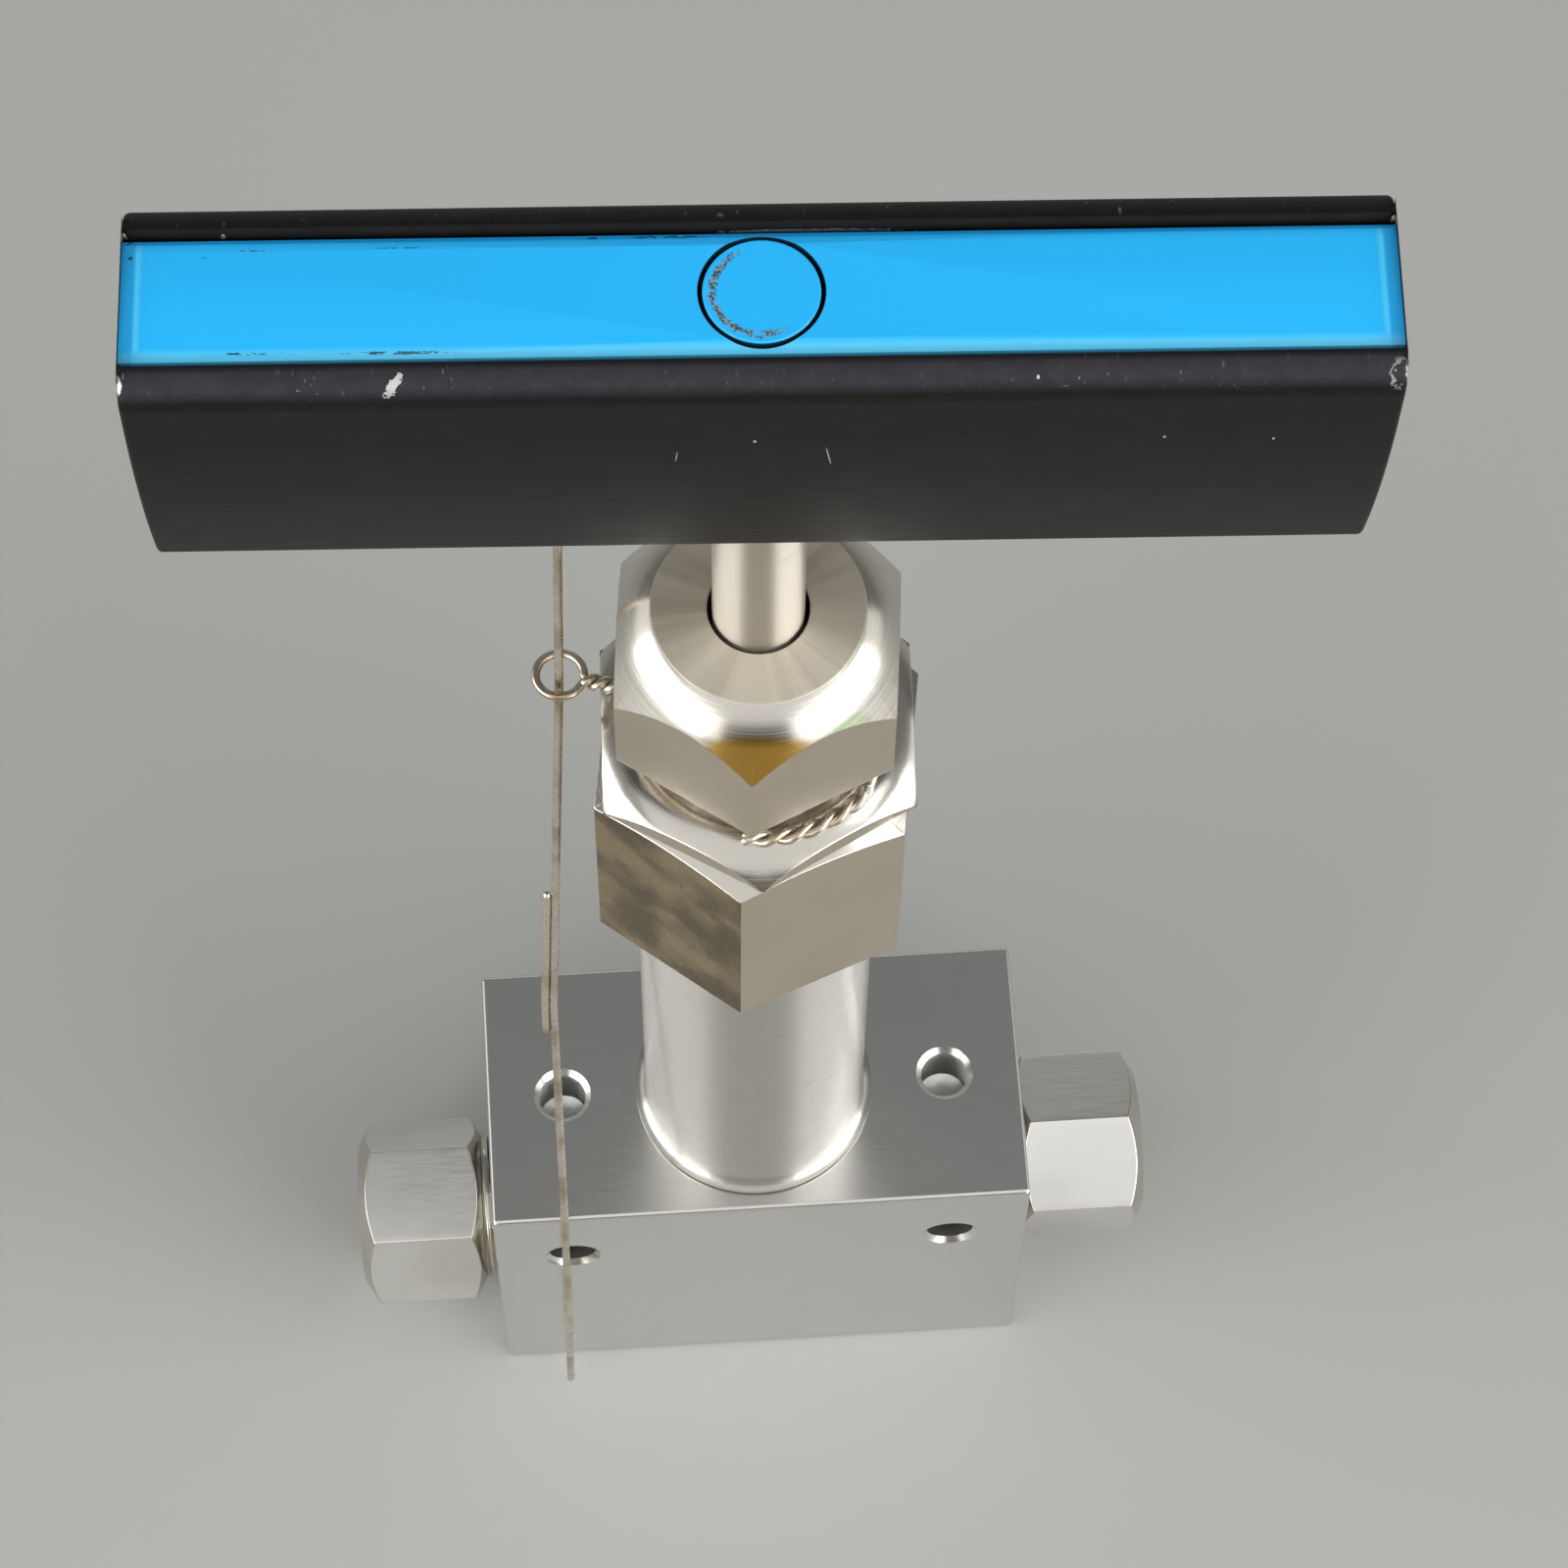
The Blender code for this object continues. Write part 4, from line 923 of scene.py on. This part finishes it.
def make_nut(word, side, height, standoff, turn, bright, plated):
    end = standoff + NUT_HEX_LENGTH
    thread_end = standoff - NUT_THREAD_LENGTH
    flat = NUT_HEX / 2

    def profile(reach, angle):
        outer_fall = (reach - flat + NUT_OUTER_CHAMFER) * NUT_CHAMFER_SLOPE
        inner_fall = (reach - flat + NUT_INNER_CHAMFER) * NUT_CHAMFER_SLOPE
        rows = thread(NUT_THREAD_RADIUS, NUT_THREAD_DEPTH, NUT_THREAD_PITCH, standoff, thread_end, angle)
        return [
            (NUT_BORE, end - NUT_MOUTH, FINE_EDGE),
            (NUT_BORE + NUT_MOUTH, end, FINE_EDGE),
            (flat - NUT_OUTER_CHAMFER, end, FINE_EDGE),
            (reach, end - outer_fall, FINE_EDGE),
            (reach, standoff + inner_fall, FINE_EDGE),
            (flat - NUT_INNER_CHAMFER, standoff),
            (NUT_THREAD_RADIUS, standoff),
            *rows,
            (NUT_THREAD_RADIUS, thread_end),
            (NUT_BORE, thread_end),
        ]

    nut = hexed(word + "_tube_nut", NUT_HEX, -side * turn, profile)
    nut.location = (side * BODY_HIGH.x, 0, height)
    nut.rotation_euler.y = side * pi / 2
    stand_for(nut, word + "_gland_nut", bright, plated)


def make_stuffing_box(bright, drawn, neck, shaded_flat):
    """The long neck with its hexagon. The left front flat is painted darker as shade, with dark stain clouds
    on it.
    """
    top = BOX_HIGH.z
    bottom = top - BOX_HEX_LENGTH
    foot = BODY_HIGH.z + GAP
    chamfer_start = BOX_HEX / 2 - BOX_CHAMFER
    packing_floor = WASHER_LOW.z - GAP
    packing_bore = WASHER_HIGH.x + GAP
    follower_floor = FOLLOWER_HIGH.z - FOLLOWER_SEAT

    fillet_centre = (NECK_RADIUS + NECK_FILLET, foot + NECK_FILLET + FINE_EDGE)
    fillet = arc(fillet_centre, NECK_FILLET, 180, 270, ARC_STEPS // 2)

    def profile(reach, angle):
        return [
            (BOX_BORE, top - 2 * FINE_EDGE),
            (BOX_BORE + 2 * FINE_EDGE, top, FINE_EDGE),
            (chamfer_start, top, FINE_EDGE),
            (reach, top - (reach - chamfer_start) * HEX_CHAMFER_SLOPE, FINE_EDGE),
            (reach, bottom, FINE_EDGE),
            (NECK_RADIUS, bottom, FINE_EDGE),
            *fillet,
            (NECK_RADIUS + NECK_FILLET, foot, FINE_EDGE),
            (SPIGOT_RADIUS, foot),
            (SPIGOT_RADIUS, BOX_LOW.z),
            (NEEDLE_BORE, BOX_LOW.z),
            (NEEDLE_BORE, packing_floor),
            (packing_bore, packing_floor),
            (packing_bore, follower_floor),
            (BOX_BORE, follower_floor),
        ]

    box = hexed("stuffing_box_neck", BOX_HEX, BOX_HEX_TURN, profile)
    # The left front flat takes the darker copy of drawn steel: painted shade
    left_flat = BOX_HEX_TURN - pi / 2 - pi / 6
    left = Vector((cos(left_flat), sin(left_flat), 0))
    for face in box.data.polygons:
        if face.center.z < bottom - FINE_EDGE:
            face.material_index = 2
        elif face.material_index == 1 and face.normal.dot(left) > SHADED_FLAT_FACING:
            face.material_index = 3
    stand_for(box, "stuffing_box", bright, drawn, neck, shaded_flat)


def make_lock_nut(bright, drawn):
    top = LOCK_NUT_HIGH.z
    bottom = LOCK_NUT_LOW.z
    chamfer_start = LOCK_NUT_HEX / 2 - LOCK_NUT_CHAMFER

    def crown(radius):
        return top - LOCK_NUT_FALL * ((radius - chamfer_start) / LOCK_NUT_CHAMFER) ** LOCK_NUT_CROWN

    def profile(reach, angle):
        radii = [chamfer_start + (reach - chamfer_start) * step / ARC_STEPS for step in range(ARC_STEPS)]
        return [
            (BOX_BORE, top),
            *((radius, crown(radius)) for radius in radii),
            (reach, crown(reach), FINE_EDGE),
            (reach, bottom, FINE_EDGE),
            (BOX_BORE, bottom),
        ]

    nut = hexed("lock_nut", LOCK_NUT_HEX, LOCK_NUT_TURN, profile)
    stand_for(nut, "gland_lock_nut", bright, drawn)


def make_gland(domed, drawn, faced):
    top = GLAND_HIGH.z
    bottom = top - GLAND_HEX_LENGTH
    thread_end = BOX_HIGH.z - GLAND_THREAD_HIDDEN
    cone_slope = (GLAND_CONE_DROP - GLAND_DOME_DROP) / (GLAND_CONE_RADIUS - GLAND_DOME_RADIUS)
    cone_tilt = atan(cone_slope)
    dome_width = GLAND_DOME_RADIUS - GLAND_TOP_RADIUS
    half_sweep = cone_tilt - atan2(GLAND_DOME_DROP, dome_width)
    dome_curve = hypot(dome_width, GLAND_DOME_DROP) / (2 * sin(half_sweep))
    dome_centre = (GLAND_DOME_RADIUS - dome_curve * sin(cone_tilt),
                   top - GLAND_DOME_DROP - dome_curve * cos(cone_tilt))
    dome_start = degrees(cone_tilt - 2 * half_sweep)
    dome = arc(dome_centre, dome_curve, 90 - dome_start, 90 - degrees(cone_tilt))

    def profile(reach, angle):
        cone_end = top - GLAND_DOME_DROP - (reach - GLAND_DOME_RADIUS) * cone_slope
        rows = thread(GLAND_THREAD_RADIUS, GLAND_THREAD_DEPTH, GLAND_THREAD_PITCH, bottom, thread_end, angle)
        return [
            (GLAND_MOUTH, top - FINE_EDGE),
            (GLAND_MOUTH + FINE_EDGE, top),
            (*dome[0], GLAND_TOP_EDGE),
            *dome[1:],
            (reach, cone_end, FINE_EDGE),
            (reach, bottom, FINE_EDGE),
            (GLAND_THREAD_RADIUS, bottom),
            *rows,
            (GLAND_THREAD_RADIUS, thread_end),
            (GLAND_THREAD_RADIUS, GLAND_LOW.z),
            (GLAND_BORE, GLAND_LOW.z),
            (GLAND_BORE, top - GLAND_SHOULDER_DROP),
            (GLAND_MOUTH, top - GLAND_SHOULDER_DROP),
        ]

    gland = hexed("gland_nut", GLAND_HEX, GLAND_HEX_TURN, profile)
    for face in gland.data.polygons:
        if face.center.z > top - FINE_EDGE / 2:
            face.material_index = 2
    stand_for(gland, "packing_gland", domed, drawn, faced)


def make_stem(polished):
    bottom = STEM_LOW.z
    shoulder = bottom + STEM_THREAD_LENGTH
    square_low = GLAND_HIGH.z + STEM_EXPOSED
    half = STEM_SQUARE / 2

    def profile(angle):
        local = (angle - HANDLE_TURN + pi / 4) % (pi / 2) - pi / 4
        square = min(half / cos(local), STEM_RADIUS)
        return [
            (0, STEM_HIGH.z),
            (square, STEM_HIGH.z, FINE_EDGE),
            (square, square_low),
            (STEM_RADIUS, square_low),
            (STEM_RADIUS, shoulder),
            (STEM_THREAD_RADIUS, shoulder, FINE_EDGE),
            (STEM_THREAD_RADIUS, bottom, FINE_EDGE),
            (STEM_SOCKET_RADIUS, bottom),
            (STEM_SOCKET_RADIUS, bottom + STEM_SOCKET_DEPTH),
            (0, bottom + STEM_SOCKET_DEPTH),
        ]

    stand_for(turned("stem_rod", profile), "upper_stem", polished)


def mirrored(right_side):
    """Closes an outline whose right half runs from the top of the groove round to the foot."""
    return right_side + [(-across, up) for across, up in reversed(right_side)]


def bar_outline():
    """Section of the bar: dovetail groove, lips, shoulders, tapering sides and a rounded foot."""
    half = HANDLE_WIDTH / 2
    crest = HANDLE_PLATE_LEVEL + HANDLE_LIP_RISE
    widest = HANDLE_PLATE_LEVEL - HANDLE_WIDEST_DROP
    mouth = PLATE_WIDTH / 2 + GAP
    floor = HANDLE_PLATE_LEVEL - PLATE_THICKNESS - GAP
    side_centre = (half - HANDLE_SIDE_RADIUS, widest)
    reach = HANDLE_SIDE_RADIUS - HANDLE_FOOT_RADIUS
    fall = widest - HANDLE_FOOT_RADIUS
    foot_centre = (side_centre[0] + sqrt(reach ** 2 - fall ** 2), HANDLE_FOOT_RADIUS)
    tangent = -degrees(asin(fall / reach))
    lip = (mouth + HANDLE_LIP_ROUND, crest - HANDLE_LIP_ROUND)
    shoulder = (half - HANDLE_SHOULDER_RADIUS, crest - HANDLE_SHOULDER_RADIUS)
    right_side = [(mouth + PLATE_DOVETAIL, floor), (mouth, HANDLE_PLATE_LEVEL)]
    right_side += arc(lip, HANDLE_LIP_ROUND, 180, 90, ARC_STEPS // 2)
    right_side += arc(shoulder, HANDLE_SHOULDER_RADIUS, 90, 0)
    right_side += arc(side_centre, HANDLE_SIDE_RADIUS, 0, tangent)[1:-1]
    right_side += arc(foot_centre, HANDLE_FOOT_RADIUS, tangent, -90)
    return [(across, up + BAR_LOW.z) for across, up in mirrored(right_side)]


def bar_stations():
    """Places along the bar with the inset of its rounded end edges."""
    end = HANDLE_LENGTH / 2
    edge = HANDLE_END_EDGE
    rim = [(end - edge + across, edge - up) for across, up in arc((0, 0), edge, 0, 90, EDGE_STEPS)]
    straight = end - edge
    middle = [(straight - 2 * straight * step / HANDLE_STATIONS, 0) for step in range(1, HANDLE_STATIONS)]
    return rim + middle + [(-x, inset) for x, inset in reversed(rim)]


def make_handle(black, blue, plug_blue):
    bar = extruded("handle_grip", bar_outline(), bar_stations())
    half = STEM_SQUARE / 2 + GAP
    low = BAR_LOW.z - HANDLE_FOOT_RADIUS
    shape = bmesh.new()
    height = STEM_HIGH.z + GAP - low
    socket = Matrix.Translation((0, 0, low + height / 2)) @ Matrix.Diagonal((2 * half, 2 * half, height, 1))
    bmesh.ops.create_cube(shape, size=1, matrix=socket)
    carve(bar, [finish_mesh("cut_socket", shape)])
    bar.rotation_euler.z = HANDLE_TURN
    stand_for(bar, "handle_bar", black)

    top = PLATE_HIGH.z + PLATE_RAISE
    floor = PLATE_LOW.z
    half = PLATE_WIDTH / 2
    bevelled = top - PLATE_BEVEL_DROP
    outline = mirrored([(half - PLATE_BEVEL, top), (half, bevelled), (half + PLATE_DOVETAIL, floor)])
    end = HANDLE_LENGTH / 2
    strip = extruded("handle_strip", outline, [(end, 0), (-end, 0)])
    bevel_ends(strip, end, top)
    carve(strip, [cylinder("cut_plug", PLUG_RADIUS + GAP, top + GAP, floor - GAP)])
    strip.rotation_euler.z = HANDLE_TURN
    stand_for(strip, "nameplate", blue)

    plug = turned("strip_plug", lambda angle: [
        (0, top), (PLUG_RADIUS, top, PLUG_EDGE), (PLUG_RADIUS, floor), (0, floor)])
    plug.rotation_euler.z = HANDLE_TURN
    stand_for(plug, "nameplate_plug", plug_blue)


def bevel_ends(strip, end, top):
    """Slopes the two ends of the strip's top like its long edges."""
    shape = bmesh.new()
    shape.from_mesh(strip.data)
    for side in (-1, 1):
        plane = Vector((side * (end - PLATE_BEVEL), 0, top))
        slope = Vector((side * PLATE_BEVEL_DROP, 0, PLATE_BEVEL)).normalized()
        geometry = shape.verts[:] + shape.edges[:] + shape.faces[:]
        cut = bmesh.ops.bisect_plane(shape, geom=geometry, plane_co=plane, plane_no=slope, clear_outer=True)
        rim = [item for item in cut["geom_cut"] if isinstance(item, bmesh.types.BMEdge)]
        bmesh.ops.contextual_create(shape, geom=rim)
    bmesh.ops.recalc_face_normals(shape, faces=shape.faces)
    shape.to_mesh(strip.data)
    shape.free()


def make_tie(level, steel):
    """Wire doubled at an eye, twisted at its shank and at the tail that lies on the lock nut."""
    loop_radius = GLAND_THREAD_RADIUS + GAP + WIRE_RADIUS
    tail_level = GLAND_HIGH.z - GLAND_HEX_LENGTH - TIE_TAIL_DROP
    shank_angle = pi - asin(TIE_SHANK_Y / loop_radius)
    shank_split = asin(WIRE_RADIUS / loop_radius)
    eye_angle = atan2(TIE_SHANK_Y - TIE_EYE_CENTRE[1], -loop_radius - TIE_EYE_CENTRE[0])
    eye_split = asin(WIRE_RADIUS / TIE_EYE_RADIUS)
    axis = (0, 0)
    tail_end = (TIE_TAIL_END, TIE_TAIL_RADIUS, tail_level)
    join = (TIE_TAIL_JOIN, loop_radius, level)
    tail = round_turn(axis, (TIE_TAIL_START, TIE_TAIL_RADIUS, tail_level), tail_end)
    curl = round_turn(axis, tail_end, join)
    behind = round_turn(axis, join, (shank_angle - shank_split, loop_radius, level))
    before = round_turn(axis, (shank_angle + shank_split, loop_radius, level),
                        (TIE_FRONT_END, loop_radius, level))
    eye = round_turn(TIE_EYE_CENTRE, (eye_angle + eye_split, TIE_EYE_RADIUS, level),
                     (eye_angle - eye_split + 2 * pi, TIE_EYE_RADIUS, level))
    root = behind[-1].lerp(before[0], 0.5)
    ring = eye[0].lerp(eye[-1], 0.5)
    shank = [root.lerp(ring, step / TIE_SHANK_STEPS) for step in range(TIE_SHANK_STEPS + 1)]
    lead = (ring - root).length / TIE_SHANK_TURNS
    strand = twisted(tail, TIE_TAIL_LEAD, 0) + curl[1:] + behind[1:] + twisted(shank, lead, 0)[1:] + eye[1:]
    strand += twisted(shank, lead, pi)[-2:0:-1] + before
    second = twisted(tail, TIE_TAIL_LEAD, pi) + curl[1:len(curl) // 2]
    stand_for(wire("wire_tie", strand, second), "tag_wire_tie", steel)


def make_tag_wire(steel):
    level = GLAND_HIGH.z - GLAND_HEX_LENGTH - TIE_DROP
    make_tie(level, steel)
    reach = level - BODY_HIGH.z
    edge = Vector((TAG_WIRE_EDGE_X, BODY_LOW.y - GAP - WIRE_RADIUS, BODY_HIGH.z))
    through = Vector((*TIE_EYE_CENTRE, level)) + Vector((*TAG_WIRE_EYE_OFFSET, 0))
    top = through + (through - edge) * (TAG_WIRE_TOP / reach)
    foot = Vector((*TAG_WIRE_FOOT, TAG_WIRE_BOTTOM))
    bend = edge.lerp(through, TAG_WIRE_BEND_HEIGHT / reach)
    bend.x += TAG_WIRE_BEND
    stand_for(wire("wire_tag", [top, through, bend, edge, foot]), "tag_wire", steel)
    low = edge.lerp(bend, TAG_WIRE_SPLICE_LOW / TAG_WIRE_BEND_HEIGHT)
    high = bend.lerp(through, (TAG_WIRE_SPLICE_HIGH - TAG_WIRE_BEND_HEIGHT) / (reach - TAG_WIRE_BEND_HEIGHT))
    aside = Vector((-2 * WIRE_RADIUS, 0, 0))
    stand_for(wire("wire_splice", [high + aside, bend + aside, low + aside]), "tag_wire_splice", steel)


# Studio

def make_floor():
    """A pale floor that sweeps up into a wall all round."""
    rim = [(FLOOR_RADIUS + across, SWEEP_RADIUS + up) for across, up in arc((0, 0), SWEEP_RADIUS, -90, 0)]
    section = [(FLOOR_HUB, 0)] + rim + [(FLOOR_RADIUS + SWEEP_RADIUS, WALL_HEIGHT)]
    shape = bmesh.new()
    columns = []
    for step in range(ROUND_STEPS):
        angle = 2 * pi * step / ROUND_STEPS
        columns.append([shape.verts.new(point) for point in swung(section, angle)])
    for left, right in zip(columns, columns[1:] + columns[:1]):
        bridge(shape, left, right, first=1)
    shape.faces.new([column[0] for column in columns])
    floor = finish_mesh("floor", shape)
    floor.data.materials.append(floor_finish())


def make_lamp(name, around, up, distance, size, watts, colour=WHITE_LIGHT):
    """A soft lamp that faces the valve. Degrees around count to the right."""
    data = bpy.data.lights.new(name, "AREA")
    data.shape = "RECTANGLE"
    data.size, data.size_y = size
    data.energy = watts
    data.color = colour
    lamp = placed(name, data)
    azimuth = radians(around)
    elevation = radians(up)
    away = Vector((sin(azimuth) * cos(elevation), -cos(azimuth) * cos(elevation),
                   sin(elevation)))
    lamp.location = LIGHT_TARGET + away * distance
    lamp.rotation_mode = "QUATERNION"
    lamp.rotation_quaternion = away.to_track_quat("Z", "Y")
    lamp.visible_camera = False


def make_studio():
    make_floor()
    for name, setting in LAMPS.items():
        make_lamp(name, *setting)
    world = bpy.data.worlds.new("studio")
    world.use_nodes = True
    world.node_tree.nodes["Background"].inputs["Color"].default_value = WORLD_COLOUR
    bpy.context.scene.world = world
    bpy.context.scene.view_settings.view_transform = "Standard"


def make_camera():
    data = bpy.data.cameras.new("camera")
    data.sensor_width = CAMERA_SENSOR
    data.lens = CAMERA_LENS
    camera = placed("camera", data)
    turn = Matrix.Rotation(CAMERA_YAW, 4, "Z") @ Matrix.Rotation(pi / 2 - CAMERA_PITCH, 4, "X")
    camera.matrix_world = Matrix.Translation(CAMERA_PLACE) @ turn @ Matrix.Rotation(CAMERA_ROLL, 4, "Z")
    bpy.context.scene.camera = camera


def dress_inner_pieces(finishes):
    """Gives the CAD nodes that stay their finishes, by their slots in the record."""
    for node, piece in frame["nodes"].items():
        piece.data.materials.clear()
        piece.data.materials.append(finishes[SLOT_OF[node]])


def main():
    ground = drawn_steel("ground_steel", GROUND_STEEL, roughness=0.24, stain=0.05, grain=(0.06, 1.0, 1.0))
    lathe = turned_steel("turned_steel", TURNED_STEEL, roughness=0.41, anisotropy=0.97)
    faced = turned_steel("faced_steel", FACED_STEEL, roughness=0.62, anisotropy=0.60, sector_shade=0.35)
    bright = turned_steel("bright_steel", TURNED_STEEL, roughness=0.21, anisotropy=0.3)
    domed = turned_steel("domed_steel", TURNED_STEEL, roughness=0.21, anisotropy=0.3,
                         tints=gland_amber_reflection_and_green_patch())
    drawn = drawn_steel("drawn_steel", DRAWN_STEEL, roughness=0.22, stain=0.45)
    # Painted shade for the stuffing box's left front flat, with dark stain clouds
    shaded_flat = drawn_steel("shaded_flat_steel", SHADED_FLAT_STEEL, roughness=0.26, stain=0.85,
                          patches=(170.0, 0.36, 0.64), stain_colour=DARK_STAIN_AND_SHADE)
    plated = drawn_steel("plated_steel", PLATED_STEEL, roughness=0.24, stain=0.30)
    neck = turned_steel("neck_steel", NECK_STEEL, roughness=0.31, anisotropy=0.97)
    polished = turned_steel("polished_steel", POLISHED_STEEL, roughness=0.42, anisotropy=0.97, stain=0.1)
    black = black_anodise()
    blue = blue_acrylic()
    steel_wire = wire_steel()
    dress_inner_pieces({
        "body_steel": ground, "turned_steel": lathe, "polished_steel": polished, "wire_steel": steel_wire,
        "packing": graphite(), "black_anodised": black, "blue_acrylic": blue,
    })
    make_body(ground)
    make_nut("inlet", -1, INLET_HEIGHT, INLET_NUT_STANDOFF, INLET_NUT_TURN, bright, plated)
    make_nut("outlet", 1, OUTLET_HEIGHT, OUTLET_NUT_STANDOFF, OUTLET_NUT_TURN, bright, plated)
    make_stuffing_box(bright, drawn, neck, shaded_flat)
    make_lock_nut(bright, drawn)
    make_gland(domed, drawn, faced)
    make_stem(polished)
    make_handle(black, blue, blue_plug())
    make_tag_wire(steel_wire)
    make_camera()
    make_studio()


main()
